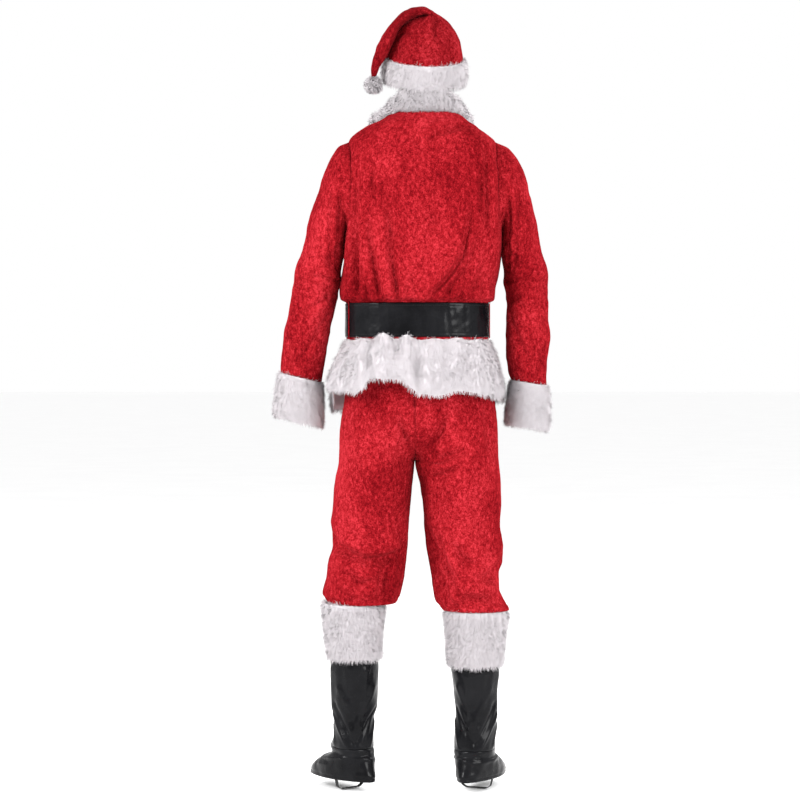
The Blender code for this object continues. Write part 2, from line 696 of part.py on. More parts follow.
def belt_loop(name, turn):
    """A narrow strip that holds the belt, sewn to the jacket above and below it."""
    clear = 2 * SEAM + LEATHER
    levels = (JACKET_BOTTOM + 1, JACKET_BOTTOM + 4, BELT_LOW - 1, BELT_HIGH + 1, 1126, 1133, 1140)
    offsets = (SEAM, SEAM, clear, clear, SEAM + 0.3, SEAM + 0.3, SEAM + 0.3)
    half = LOOP_WIDTH / 2 / 950.0
    turns = np.array((turn - half, turn + half))
    inner = [torso_surface(turns, np.full(2, float(h)), out) for h, out in zip(levels, offsets)]
    outer = [torso_surface(turns, np.full(2, float(h)), out + LOOP_THICK)
             for h, out in zip(levels, offsets)]
    wall(name, np.array(outer), np.array(inner), "red_velvet")


def leg_ring(source, height, along, front):
    """Half a leg's ring from the side seam (along 0) to the inseam (along 1)."""
    outer_x, inner_x = read(source, "outer_x", height), read(source, "inner_x", height)
    angle = math.pi * along
    x = (outer_x + inner_x) / 2 + (outer_x - inner_x) / 2 * power(np.cos(angle), 2.1)
    depth = read(source, "half_depth", height) * power(np.sin(angle), 2.1)
    y = read(source, "centre_y", height) + (depth if front else -depth)
    return stack(x, y, np.full_like(along, height))


def hip_ring(height, along, side, front):
    """A quarter of the hips from the side seam to the centre seam."""
    centre, reach = read(HIPS, "centre_x", height), read(HIPS, "half_width", height)
    seam = side * (MID_X - centre) / reach
    angle = math.acos(np.sign(seam) * abs(seam) ** (TORSO_SQUARE / 2)) * along
    x = centre + side * reach * power(np.cos(angle), TORSO_SQUARE)
    depth = read(HIPS, "half_depth", height) * power(np.sin(angle), TORSO_SQUARE)
    return stack(x, depth if front else -depth, np.full_like(along, height))


def trouser_panel(name, source, side, front):
    """One of four panels, from the hem up the leg and over the hip to the waistband."""
    trim = 0.0009
    along = trim + (1 - 2 * trim) * np.linspace(0.0, 1.0, TROUSER_COLUMNS + 1)
    hem = float(source["height"][0]) + SEAM
    rows = [leg_ring(source, h, along, front)
            for h in np.linspace(hem, FORK_HEIGHT, LEG_ROWS + 1)[:-1]]
    for step in FORK_STEPS:
        height = FORK_HEIGHT + (FORK_CURVE_TOP - FORK_HEIGHT) * step
        share = step * step * (3 - 2 * step)
        share = share + (math.sqrt(1 - (1 - step) ** 2) - share) * along[:, None] ** 3
        leg = leg_ring(source, height, along, front)
        rows.append(leg * (1 - share) + hip_ring(height, along, side, front) * share)
    for height in HIP_LEVELS:
        rows.append(hip_ring(height, along, side, front))
    grid = np.array(rows)
    fork_row = LEG_ROWS
    grid[fork_row:, -1, 0] = MID_X + side * 0.2
    grid = grid + normals(grid, False) * fold_lift(grid, TROUSER_FOLDS)[..., None]
    inner = inside(grid, seams=(1, None))
    inner[:fork_row, -1, 1] = grid[:fork_row, -1, 1]
    inner[fork_row:, -1, 0] = MID_X + side * 0.2
    grid[fork_row:, -1, 0] = MID_X + side * 0.2
    wall(name, grid, inner, "red_velvet")


def trousers():
    """Waistband and four panels."""
    for side, place, source in ((-1, "left", LEG_LEFT), (1, "right", LEG_RIGHT)):
        trouser_panel("trouser_back_" + place, source, side, False)
        trouser_panel("trouser_front_" + place, source, side, True)
    count = 2 * BACK_COLUMNS
    turns = np.arange(count) / count
    grid = np.array([torso_surface(turns, np.full(count, level), -CLOTH - SEAM - 0.2)
                     for level in (WAIST_LOW, WAIST_HIGH)])
    cloth("trouser_waistband", grid, closed=True)


def band_ring(rise, out):
    """A ring of the hat band at a height along it, moved out from its middle line."""
    angle = 2 * math.pi * np.arange(HAT_COLUMNS) / HAT_COLUMNS
    across = BAND_HALF_WIDTH - BAND_THICK + out
    deep = BAND_HALF_DEPTH - BAND_THICK + out
    x, y = across * np.cos(angle), -deep * np.sin(angle)
    lift = BAND_BACK_HEIGHT + BAND_RISE_FRONT * (y + BAND_HALF_DEPTH) - BAND_RISE_LEFT * x
    return stack(HAT_X + x, y, lift + rise)


def hat():
    """Fur band, crown with its folded tail, and pompom."""
    outer, inner = [], []
    for along, out in ((0, 5), (0.06, 10), (0.3, BAND_THICK), (0.7, BAND_THICK), (0.94, 10), (1, 5)):
        outer.append(band_ring(BAND_HEIGHT * along, out))
        inner.append(band_ring(BAND_HEIGHT * along, 0.0))
    wall("hat_band", np.array(outer), np.array(inner), "white_fur", closed=True)
    angles = 2 * math.pi * np.arange(HAT_COLUMNS) / HAT_COLUMNS
    tucked = [band_ring(BAND_HEIGHT - 14, -SEAM), band_ring(BAND_HEIGHT + 3, -SEAM)]
    rings = [fan_ring(CROWN, i, angles, 2.0) for i in range(len(CROWN["outer_x"]))]
    outer = np.array(tucked + rings)
    inner = inside(outer, HAT_CLOTH, True, (False, False))
    fold = len(tucked) + CROWN_FOLD_ROW
    level_out = stack(np.cos(angles) - 1.0, -np.sin(angles), 0.0)
    level_out /= np.maximum(np.linalg.norm(level_out, axis=1, keepdims=True), 1e-9)
    creased = np.cos(angles) < 0.1
    inner[fold][creased] = (outer[fold] - HAT_CLOTH * level_out)[creased]
    wall("hat_crown", outer, inner, "red_velvet", closed=True, capped=True)
    pompom()


def pompom():
    """A ball of fur at the tail's tip, flattened where the tip meets it."""
    rings, around = 10, 16
    angle = 2 * math.pi * np.arange(around) / around
    points, faces = [(POMPOM_X, POMPOM_Y, POMPOM_H + POMPOM_RADIUS)], []
    for i in range(1, rings):
        fall = math.pi * i / rings
        for a in angle:
            points.append((POMPOM_X + POMPOM_RADIUS * math.sin(fall) * math.cos(a),
                           POMPOM_Y + POMPOM_RADIUS * math.sin(fall) * math.sin(a),
                           POMPOM_H + POMPOM_RADIUS * math.cos(fall)))
    points.append((POMPOM_X, POMPOM_Y, POMPOM_H - POMPOM_RADIUS))
    last = len(points) - 1
    for k in range(around):
        after = (k + 1) % around
        faces.append((0, 1 + k, 1 + after))
        for i in range(rings - 2):
            row = 1 + i * around
            faces.append((row + k, row + around + k, row + around + after, row + after))
        row = 1 + (rings - 2) * around
        faces.append((row + k, last, row + after))
    build_mesh("hat_pompom", points, faces, "white_fur")


def shaft_ring(source, height, out=0.0):
    """A ring of a boot cover's shaft."""
    angle = 2 * math.pi * np.arange(BOOT_COLUMNS) / BOOT_COLUMNS
    x = read(source, "centre_x", height) + (read(source, "half_width", height) + out) * np.cos(angle)
    y = read(source, "centre_y", height) - (read(source, "half_depth", height) + out) * np.sin(angle)
    return stack(x, y, np.full(BOOT_COLUMNS, height))


def boot_cover(side, source, fur_low, fur_high, turn):
    """Shaft, foot, fur top and sole strap of one boot cover."""
    low = float(source["height"][0])
    levels = np.concatenate((np.linspace(low, fur_low, 6), np.linspace(fur_low, fur_high - 4, 4)[1:]))
    cloth("boot_shaft_" + side, np.array([shaft_ring(source, h) for h in levels]),
          "black_vinyl", closed=True, thick=1.6)
    outer, inner = [], []
    for along, out in zip(BOOT_FUR_PROFILE["along"], BOOT_FUR_PROFILE["out"]):
        height = fur_low + (fur_high - fur_low) * along
        outer.append(shaft_ring(source, height, out))
        inner.append(shaft_ring(source, height, SEAM + 0.2))
    wall("boot_fur_" + side, np.array(outer), np.array(inner), "white_fur", closed=True)
    heading = math.radians(turn)
    ahead = np.array((math.sin(heading), math.cos(heading)))
    beside = np.array((math.cos(heading), -math.sin(heading)))
    ankle = shaft_ring(source, low)
    middle = ankle.mean(axis=0)
    angle = 2 * math.pi * np.arange(BOOT_COLUMNS) / BOOT_COLUMNS
    start = angle - heading
    top = low - SEAM
    rings = []
    for i in range(len(FOOT["drop"])):
        drop = FOOT["drop"][i]
        across = FOOT["half_width"][i] * np.cos(start)
        length = -FOOT["half_length"][i] * np.sin(start)
        narrow = 1.0 - 0.22 * drop * np.clip(-length / FOOT["half_length"][i], 0.0, 1.0)
        place = (middle[:2] + np.outer(length + FOOT["forward"][i], ahead)
                 + np.outer(across * narrow, beside))
        if i == 0:
            place = ankle[:, :2]
        height = top + (FOOT_LOW - top) * drop
        rings.append(stack(place[:, 0], place[:, 1], np.full(BOOT_COLUMNS, height)))
    cloth("boot_foot_" + side, np.array(rings), "black_vinyl", closed=True, thick=1.6)
    sole_strap("boot_strap_" + side, middle, ahead, beside)


def sole_strap(name, middle, ahead, beside):
    """A flat elastic from one lower edge of the foot piece, under the sole, to the other."""
    reach = STRAP_REACH
    path = ((-reach, FOOT_LOW + 12), (-reach, FOOT_LOW), (-reach + 4, STRAP_LOW + 6),
            (-reach + 14, STRAP_LOW), (reach - 14, STRAP_LOW), (reach - 4, STRAP_LOW + 6),
            (reach, FOOT_LOW), (reach, FOOT_LOW + 12))
    outer, inner = [], []
    for k, (across, height) in enumerate(path):
        before, after = path[max(k - 1, 0)], path[min(k + 1, len(path) - 1)]
        run = np.array((after[0] - before[0], after[1] - before[1]))
        run = run / np.linalg.norm(run)
        inward = np.array((-run[1], run[0])) * STRAP_THICK
        row_outer, row_inner = [], []
        for edge in (-STRAP_WIDTH / 2, STRAP_WIDTH / 2):
            base = middle[:2] + ahead * (FOOT["forward"][-1] - STRAP_FORWARD + edge)
            spot = base + beside * across
            row_outer.append((spot[0], spot[1], height))
            spot = base + beside * (across + inward[0])
            row_inner.append((spot[0], spot[1], height + inward[1]))
        outer.append(row_outer)
        inner.append(row_inner)
    wall(name, np.array(outer), np.array(inner), "black_elastic")


def main():
    for thing in list(bpy.data.objects):
        bpy.data.objects.remove(thing, do_unlink=True)
    edges = jacket_body()
    for side, source in (("left", SLEEVE_LEFT), ("right", SLEEVE_RIGHT)):
        end_outer, end_inner, axis = sleeve("sleeve_" + side, source, edges, side == "right")
        cuff("cuff_" + side, end_outer, end_inner, axis)
    collar()
    fur_hem()
    belt()
    trousers()
    hat()
    for boot in BOOTS:
        boot_cover(*boot)


main()
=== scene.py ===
"""Looks of the worn costume suit: crushed velvet, fur pile, glossy coated cloth and metal.

Lengths are in millimetres and heights above the ground until metres() turns them into metres.
"""
import json
import math

import bpy
import numpy as np
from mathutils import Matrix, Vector

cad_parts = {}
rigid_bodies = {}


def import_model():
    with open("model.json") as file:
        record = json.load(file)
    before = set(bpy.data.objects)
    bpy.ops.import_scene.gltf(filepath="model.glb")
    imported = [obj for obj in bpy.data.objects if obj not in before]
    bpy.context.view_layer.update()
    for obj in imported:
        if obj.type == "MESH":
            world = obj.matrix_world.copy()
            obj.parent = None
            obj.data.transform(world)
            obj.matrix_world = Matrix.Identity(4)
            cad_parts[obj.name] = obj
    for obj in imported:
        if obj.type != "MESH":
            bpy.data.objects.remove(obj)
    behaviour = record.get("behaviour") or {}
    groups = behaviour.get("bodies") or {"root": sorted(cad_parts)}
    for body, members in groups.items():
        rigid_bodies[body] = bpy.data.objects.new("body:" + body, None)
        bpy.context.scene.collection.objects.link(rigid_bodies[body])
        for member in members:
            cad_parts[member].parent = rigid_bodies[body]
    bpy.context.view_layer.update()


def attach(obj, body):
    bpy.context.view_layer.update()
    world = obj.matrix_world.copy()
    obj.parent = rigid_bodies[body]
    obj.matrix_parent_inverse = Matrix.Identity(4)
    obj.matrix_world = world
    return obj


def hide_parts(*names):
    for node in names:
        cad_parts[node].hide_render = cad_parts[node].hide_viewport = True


for thing in list(bpy.data.objects):
    bpy.data.objects.remove(thing, do_unlink=True)
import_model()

MOUNT_HEIGHT = 1516.0
CLOTH = 2.0
SEAM = 0.4
LEATHER = 2.4
COARSE = 3


def table(columns, *rows):
    """One array of numbers for each named column."""
    names = columns.split()
    return {name: np.array([row[i] for row in rows], float) for i, name in enumerate(names)}


TORSO = table(
    "height half_width half_depth centre_x square",
    (1030, 163, 122, -8, 2.4), (1121, 163, 122, -8, 2.4), (1126, 170, 132, -8, 2.4),
    (1133, 176, 142, -8, 2.4), (1150, 178, 145, -8, 2.4), (1185, 180, 143, -2, 2.45),
    (1219, 180, 139, 3, 2.6), (1276, 177, 134, 8, 3.1), (1357, 172, 128, 9, 3.7),
    (1424, 171, 121, 8, 3.7), (1465, 170, 114, 5, 3.2), (1488, 167, 109, 2, 2.7),
    (1502, 156, 107, 0, 2.4), (1514, 139, 101, 0, 2.4), (1527, 120, 94, 2, 2.4),
    (1537, 101, 87, 6, 2.4), (1548, 85, 79, 9, 2.4), (1560, 68, 68, 10, 2.4),
)
JACKET_BOTTOM = 1034.0
PIT_HEIGHT, SHOULDER_HEIGHT = 1276.0, 1488.0
ARMHOLE_REACH = 0.072
NECKLINE = table(
    "turn height", (0.0, 1555), (0.1, 1556), (0.18, 1553), (0.25, 1545), (0.36, 1518), (0.5, 1494),
)
SLEEVE_RIGHT = table(
    "outer_x outer_h inner_x inner_h half_depth centre_y",
    (203, 1472, 185, 1280, 78, 0), (222, 1448, 184.5, 1274, 77, 0), (239, 1411, 184, 1261, 76, 0),
    (251, 1366, 184, 1242, 75, 0), (261, 1312, 187, 1217, 74, 1), (272, 1262, 192, 1189, 71, 4),
    (284, 1213, 195, 1156, 69, 6), (290, 1160, 198, 1119, 67, 8), (293, 1106, 197, 1076, 64, 10),
    (294, 1052, 196, 1031, 61, 12), (292, 1002, 199, 988, 57, 14), (290, 958, 203, 956, 53, 15),
    (290, 930, 209, 943, 51, 15),
)
SLEEVE_LEFT = table(
    "outer_x outer_h inner_x inner_h half_depth centre_y",
    (-191, 1476, -169, 1280, 78, 0), (-207, 1453, -169.5, 1273, 77, 0),
    (-223, 1417, -171, 1259, 76, 0), (-238, 1366, -174, 1239, 75, 0),
    (-252, 1314, -181, 1213, 74, 1), (-266, 1264, -185.5, 1184, 71, 4),
    (-280, 1214, -190, 1150, 69, 6), (-292, 1160, -196, 1115, 67, 8),
    (-303, 1108, -207, 1073, 64, 10), (-312, 1058, -214, 1029, 61, 12),
    (-319, 1012, -221, 986, 57, 14), (-322, 978, -226, 955, 53, 15),
    (-323, 960, -229, 937, 51, 15),
)
CUFF_PROFILE = table(
    "along out", (0.0, 3), (0.04, 9), (0.2, 13), (0.5, 14), (0.8, 14), (0.96, 10), (1.0, 4),
)
CUFF_LENGTH, CUFF_FLARE, CUFF_PRESSED = 100.0, 8.0, 0.55
CUFF_AXES = {"left": (-0.04, 0.03, -1.0), "right": (-0.08, 0.03, -1.0)}
COLLAR = table(
    "turn height lean thick",
    (0.0, 54.1, 30, 16), (0.07, 45, 22, 15), (0.14, 33, 8, 11), (0.25, 27, -4, 8),
    (0.38, 28, 6, 13), (0.5, 26, 12, 13),
)
COLLAR_GAP = 0.004
HEM_BOTTOM = table(
    "turn height",
    (0.0, 915), (0.03, 910), (0.07, 920), (0.13, 912), (0.19, 904), (0.26, 896), (0.38, 884),
    (0.5, 880), (0.62, 874), (0.72, 872), (0.78, 922), (0.84, 920), (0.89, 916), (0.905, 924),
    (0.918, 948), (0.95, 947), (0.975, 945), (0.988, 934), (1.0, 915),
)
HEM_FLARE_LEFT, HEM_FLARE_RIGHT, HEM_FLARE_Y = 38.0, 28.0, 46.0
HEM_WAVES, HEM_WAVE = 9, 7.0
HEM_PROFILE = table(
    "drop out", (0, 4), (0.05, 9), (0.25, 11), (0.5, 11), (0.75, 11), (0.94, 9), (1, 5),
)
# Valleys between the hem's ruffles: x at the top and at the bottom, width, depth and how far down they run.
HEM_VALLEYS = table(
    "x_top x_low wide deep reach",
    (-124, -113, 9, 11, 1.2), (-58, -52, 8, 9, 0.55), (-16, -1, 10, 12, 1.2), (98, 118, 12, 6, 1.2),
    (-170, -178, 12, 6, 1.2), (52, 62, 12, 5, 1.2),
)
# Ruffles that stand up over the belt's lower edge.
HEM_RUFFLES = table(
    "x wide tall", (-83, 17, 17), (-33, 14, 13), (30, 20, 4), (78, 16, 6), (-130, 14, 5), (128, 14, 3),
)
BELT_LOW, BELT_HIGH = 1041.0, 1119.0
BELT_OVERLAP, BELT_STEP = 4.0 / 36.0, 1.0 / 36.0
BUCKLE_WIDTH, BUCKLE_HEIGHT, BUCKLE_BAR, BUCKLE_THICK = 88.0, 78.0, 9.0, 3.5
HIPS = table(
    "height half_width half_depth centre_x",
    (757, 184, 136, -5), (784, 184, 139, -6), (856, 178, 139, -4), (902, 172, 135, -3),
    (960, 168, 130, -4), (1000, 163, 124, -6), (1032, 159.6, 118.6, -8), (1062, 159.6, 118.6, -8),
)
LEG_LEFT = table(
    "height outer_x inner_x half_depth centre_y",
    (430, -214, -58, 84, 4), (453, -226, -47, 90, 4), (490, -218, -38, 92, 2),
    (527, -213, -34, 92, 0), (563, -203, -31, 93, -2), (626, -204, -27, 99, -5),
    (676, -201, -22, 106, -8), (724, -194, -17.5, 120, -6), (757, -189, -14.4, 130, -3),
    (900, -184, -14.4, 140, 0),
)
LEG_RIGHT = table(
    "height outer_x inner_x half_depth centre_y",
    (414, 204, 50, 82, 4), (440, 190, 33, 90, 4), (466, 180, 28, 92, 3), (499, 180, 23, 92, 2),
    (527, 188, 18, 92, 0), (563, 188, 12, 93, -2), (612, 182, 8, 98, -5),
    (662, 184, 4, 106, -8), (704, 184, -2, 118, -7), (757, 179, -13.6, 130, -3),
    (900, 174, -13.6, 140, 0),
)
LEG_SQUARE, HIP_SQUARE = 2.1, 2.4
FORK_HEIGHT, FORK_CURVE_TOP, MID_X, HIP_TOP = 757.0, 890.0, -14.0, 1061.6
WAIST_LOW, WAIST_HIGH = 1062.0, 1098.0
HAT_X, BAND_HALF_WIDTH, BAND_HALF_DEPTH, BAND_THICK = 8.0, 101.0, 114.0, 12.0
BAND_LOW, BAND_TOP = -5.0, 46.0
BAND_BACK_HEIGHT, BAND_RISE_FRONT, BAND_RISE_LEFT = 1606.0, 0.30, 0.04
CROWN = table(
    "inner_x inner_h outer_x outer_h half_depth centre_y rise",
    (-80, 1704, 95, 1700, 98, 0, 0.30), (-75, 1724, 89, 1724, 91, 0, 0.28),
    (-64, 1746, 78, 1750, 81, -1, 0.24), (-46, 1763, 64, 1768, 70, -2, 0.18),
    (-20, 1774, 50, 1779, 59, -4, 0.12), (12, 1779, 41, 1785, 54, -6, 0.06),
    (9, 1780, 18, 1795, 50, -12, 0), (-12, 1774, -12, 1797, 45, -22, 0),
    (-31, 1765, -40, 1785, 39, -34, 0), (-50, 1748, -64, 1762, 35, -42, 0),
    (-58, 1727, -84, 1735, 31, -47, 0), (-68, 1705, -98, 1707, 26, -50, 0),
    (-80, 1682, -108, 1682, 21, -51, 0), (-94, 1660, -114, 1658, 15, -51, 0),
    (-103, 1638, -113, 1638, 11, -52, 0),
)
POMPOM_X, POMPOM_Y, POMPOM_H, POMPOM_RADIUS = -108.5, -52.0, 1614.2, 12.8
# How far the whole hat sits below the rows above, and where along the crown its tail begins.
HAT_DROP, TAIL_START = 6.0, 0.47
SHAFT_LEFT = table(
    "height centre_x half_width half_depth centre_y",
    (101, -153, 45, 52, -12), (130, -153, 45, 50, -10), (165, -154, 46, 50, -6),
    (198, -152, 53, 56, -4), (297, -153, 56, 63, -2), (360, -155, 59, 68, 0),
    (426, -156, 62, 71, 2),
)
SHAFT_RIGHT = table(
    "height centre_x half_width half_depth centre_y",
    (96, 122, 46, 52, -12), (130, 124, 46, 50, -10), (178, 127, 47, 50, -6),
    (230, 125, 50, 56, -4), (284, 125, 57, 63, -2), (345, 126, 60, 68, 0),
    (410, 127, 63, 71, 2),
)
BOOT_FUR_PROFILE = table(
    "along out", (0.0, 3), (0.05, 5), (0.35, 8), (0.7, 12), (0.94, 16), (1.0, 13),
)
FOOT = table(
    "drop forward half_length half_width",
    (0.0, 0, 52, 46), (0.18, 4, 56, 47), (0.42, 22, 80, 49), (0.65, 36, 100, 50),
    (0.85, 42, 110, 49), (1.0, 44, 112, 47),
)
FOOT_LOW = 26.0
BOOTS = (
    ("left", SHAFT_LEFT, 294.0, 430.0, -38.0),
    ("right", SHAFT_RIGHT, 278.0, 414.0, 22.0),
)

# Folds: ridges (depth > 0) and troughs (depth < 0) from one point to another, seen from behind
# (side -1) or from the front (side 1).
JACKET_FOLDS = table(
    "x0 h0 x1 h1 width depth side",
    (-150, 1430, -158, 1200, 16, 5, -1), (168, 1410, 164, 1200, 16, 5, -1),
    (44, 1525, -4, 1470, 20, 5, -1), (113, 1288, 66, 1196, 22, 6, -1),
    (66, 1196, 22, 1128, 22, 7, -1), (-71, 1242, -50, 1128, 20, 6, -1),
    (-110, 1265, -88, 1128, 20, 5, -1), (120, 1210, 118, 1128, 18, 6, -1),
    (-12, 1350, -6, 1296, 20, 4, -1),
    (110, 1300, 90, 1130, 22, 6, 1), (-100, 1290, -84, 1130, 22, 6, 1),
    (30, 1240, 44, 1130, 20, 5, 1),
    # softer folds that the solids leave out
    (-137, 1390, -140, 1140, 12, 3, -1), (-124, 1250, -108, 1136, 11, 4, -1),
    (-84, 1290, -64, 1136, 11, 4, -1), (84, 1240, 30, 1150, 12, 4, -1),
    (146, 1440, 148, 1330, 9, 2.5, -1), (80, 1170, 74, 1132, 7, 3, -1), (-32, 1180, -28, 1134, 8, 3, -1),
    (60, 1350, 86, 1290, 14, 2.5, -1), (-40, 1440, -60, 1330, 22, 2.5, -1),
    (70, 1440, 90, 1360, 20, -2.5, -1), (-100, 1450, -112, 1380, 16, 2.5, -1), (0, 1290, -30, 1210, 24, 3, -1),
    (-118, 1330, -122, 1150, 11, 3.5, 1), (126, 1330, 130, 1150, 11, 3.5, 1),
    (-30, 1330, -24, 1220, 12, 2.5, 1), (90, 1420, 70, 1320, 14, 2.5, 1), (-90, 1420, -74, 1320, 14, 2.5, 1),
)
# A crease that ends between these heights runs on under the belt; the factor deepens them all.
BELT_CREASE_ENDS = (1105.0, 1125.0)
CREASE_DEPTH = 1.4
# Narrow creases: width, depth, side (-1 the back, 1 the front) and the points of each line.
JACKET_CREASES = (
    (8, 16, -1, (-142, 1430), (-149, 1340), (-148, 1250), (-150, 1110)),
    (6.5, 12, -1, (-128, 1340), (-116, 1260), (-106, 1200), (-92, 1110)),
    (6.5, 13, -1, (-84, 1370), (-72, 1290), (-68, 1220), (-60, 1170), (-50, 1110)),
    (7, 15, -1, (118, 1360), (108, 1290), (92, 1222), (56, 1172), (10, 1118)),
    (6.5, 10, -1, (128, 1280), (112, 1224), (84, 1180), (40, 1118)),
    (6.5, 11, -1, (143, 1480), (148, 1420), (150, 1350), (146, 1270)),
    (6, 8, -1, (132, 1440), (136, 1380), (132, 1310)),
    (8, 9, -1, (112, 1530), (70, 1514), (36, 1500), (18, 1476)),
    (7, 6, -1, (-18, 1500), (-6, 1474), (10, 1450)),
    (7, 6, -1, (0, 1366), (18, 1330), (30, 1306), (50, 1292)),
    (5, 6, -1, (140, 1224), (122, 1170), (104, 1120)), (5, 5, -1, (-16, 1190), (-12, 1120)),
    (5, 5, -1, (-30, 1170), (-34, 1120)), (5, 6, -1, (-128, 1180), (-120, 1118)),
    (5, 5, -1, (66, 1160), (60, 1118)), (5, 5, -1, (-104, 1440), (-112, 1390), (-108, 1340)),
    (5, 8, 1, (60, 1300), (58, 1230), (50, 1110)), (5, 8, 1, (-60, 1280), (-56, 1210), (-48, 1110)),
    (5, 7, 1, (-126, 1390), (-134, 1300), (-134, 1200)), (5, 7, 1, (134, 1390), (140, 1300), (140, 1200)),
    (5, 7, 1, (114, 1270), (104, 1190), (92, 1110)), (5, 7, 1, (-106, 1260), (-96, 1190), (-84, 1110)),
    (5, 6, 1, (30, 1210), (38, 1118)), (5, 6, 1, (-18, 1200), (-26, 1118)),
)
FOLD_RANGE = (1122.0, 1545.0)
BLOUSE_LOW, BLOUSE_TURN = 1131.0, 1136.0
SLEEVE_FOLDS = table(
    "along across width round depth",
    (0.30, 0.15, 0.055, 0.16, 5.0), (0.44, 0.40, 0.045, 0.16, 5.0),
    (0.52, 0.05, 0.045, 0.16, 5.0), (0.66, 0.30, 0.045, 0.16, 4.0),
    (0.80, 0.10, 0.045, 0.16, 4.0),
    (0.37, 0.28, 0.018, 0.13, -3.0), (0.48, 0.22, 0.02, 0.12, 3.0),
    (0.56, 0.33, 0.017, 0.13, -3.0), (0.60, 0.12, 0.02, 0.11, 3.0),
    (0.72, 0.18, 0.018, 0.14, -2.5), (0.25, 0.33, 0.02, 0.13, 2.5),
    (0.86, 0.35, 0.02, 0.12, 2.5), (0.20, 0.08, 0.02, 0.10, -2.5),
    (0.42, 0.72, 0.02, 0.14, -3.0), (0.54, 0.62, 0.022, 0.12, 3.5),
    (0.62, 0.78, 0.02, 0.13, -3.0), (0.74, 0.66, 0.022, 0.14, 3.0),
    (0.33, 0.85, 0.025, 0.12, 3.0), (0.90, 0.75, 0.02, 0.12, 2.0),
)
SLEEVE_SLANTS = table(
    "along0 across0 along1 across1 width depth",
    (0.06, 0.22, 0.34, 0.34, 0.022, 4.0), (0.08, 0.28, 0.38, 0.40, 0.014, -7.0),
    (0.14, 0.20, 0.40, 0.34, 0.012, -5.0), (0.20, 0.40, 0.40, 0.30, 0.012, -4.5),
    (0.50, 0.10, 0.62, 0.42, 0.020, 4.0), (0.44, 0.42, 0.56, 0.10, 0.014, -6.0),
    (0.64, 0.08, 0.84, 0.34, 0.020, 4.0), (0.66, 0.40, 0.94, 0.22, 0.014, -6.0),
    (0.56, 0.36, 0.70, 0.20, 0.013, -4.5), (0.84, 0.12, 0.97, 0.18, 0.014, -4.5),
    (0.12, 0.80, 0.36, 0.66, 0.022, 4.0), (0.56, 0.86, 0.78, 0.58, 0.020, 4.0),
    (0.10, 0.70, 0.40, 0.60, 0.014, -5.0), (0.50, 0.60, 0.66, 0.84, 0.014, -5.0),
)
TROUSER_FOLDS = table(
    "x0 h0 x1 h1 width depth side",
    (-202, 616, -140, 534, 18, 8, -1), (-140, 534, -60, 566, 18, 8, -1),
    (-60, 566, -34, 605, 16, 6, -1), (80, 531, 125, 520, 18, 7, -1),
    (125, 520, 172, 545, 18, 7, -1), (24, 610, 46, 520, 15, 5, -1),
    (46, 520, 80, 458, 16, 6, -1), (115, 474, 196, 420, 18, 8, -1),
    (-160, 480, -80, 470, 20, 7, -1), (-180, 560, -100, 520, 20, 7, 1),
    (60, 560, 140, 515, 20, 7, 1), (-170, 700, -120, 560, 18, 4, -1),
    (60, 720, 120, 600, 18, 4, -1),
    # softer ones that the solids leave out
    (-176, 640, -120, 576, 10, 3, -1), (-60, 620, -90, 560, 9, 3, -1), (-200, 500, -150, 462, 10, 4, -1),
    (-120, 500, -60, 520, 10, 3, -1), (-70, 760, -60, 640, 12, 2.5, -1),
    (-150, 840, -120, 720, 14, 2.5, -1), (-36, 880, -60, 800, 12, 3, -1), (100, 500, 168, 462, 10, 3.5, -1),
    (60, 450, 110, 444, 9, 3, -1), (90, 640, 140, 560, 10, 2.5, -1), (20, 720, 30, 620, 9, 2.5, -1),
    (10, 880, 36, 800, 12, 3, -1), (120, 860, 110, 740, 14, 2.5, -1), (-150, 500, -80, 480, 9, 4, 1),
    (70, 500, 140, 470, 9, 4, 1), (-110, 760, -90, 640, 14, 3, 1), (90, 760, 84, 640, 14, 3, 1),
    (-40, 860, -90, 800, 12, 3, 1), (14, 860, 60, 800, 12, 3, 1),
)
TROUSER_CREASES = (
    (11.7, 20, -1, (-206, 600), (-190, 566), (-168, 550), (-125, 534), (-79, 537), (-40, 560)),
    (10.4, 14, -1, (-66, 548), (-84, 508), (-92, 462), (-90, 430)),
    (9.1, 11, -1, (-46, 590), (-42, 540), (-50, 500)),
    (9.1, 10, -1, (-170, 500), (-140, 478), (-104, 488)),
    (11.7, 18, -1, (10, 620), (22, 560), (30, 510), (48, 462), (70, 424)),
    (10.4, 15, -1, (36, 600), (46, 545), (58, 512), (70, 474), (94, 436)),
    (10.4, 12, -1, (66, 580), (84, 546), (108, 526), (150, 522)),
    (10.4, 12, -1, (134, 486), (160, 496), (184, 520), (192, 548)),
    (10.4, 12, -1, (84, 424), (104, 446), (143, 446), (198, 432)),
    (9.1, 8, -1, (150, 900), (154, 840), (156, 780)),
    (7.8, 8, -1, (60, 880), (44, 830), (16, 780)), (7.8, 8, -1, (-60, 880), (-44, 830), (-16, 780)),
    (9.1, 9, -1, (20, 760), (60, 772), (110, 790)), (9.1, 8, -1, (16, 720), (50, 728), (90, 750)),
    (7, 9, 1, (-190, 600), (-150, 546), (-100, 530)), (7, 9, 1, (50, 590), (90, 546), (150, 540)),
    (7, 7, 1, (-170, 520), (-120, 488), (-70, 492)), (7, 7, 1, (60, 510), (110, 478), (170, 486)),
)


def bell(value, width):
    """Rounded bump: 1 where the value is 0, fading over the width to both sides."""
    return np.exp(-((value / width) ** 2))


def cubic(first, last, slope, end_slope, t):
    """Point at t of the cubic from first to last with those slopes at its ends."""
    low = first * (1 + 2 * t) * (1 - t) ** 2 + slope * t * (1 - t) ** 2
    return low + last * t * t * (3 - 2 * t) + end_slope * t * t * (t - 1)


def turns_of(count):
    """Evenly spaced shares of one turn."""
    return np.arange(count) / count


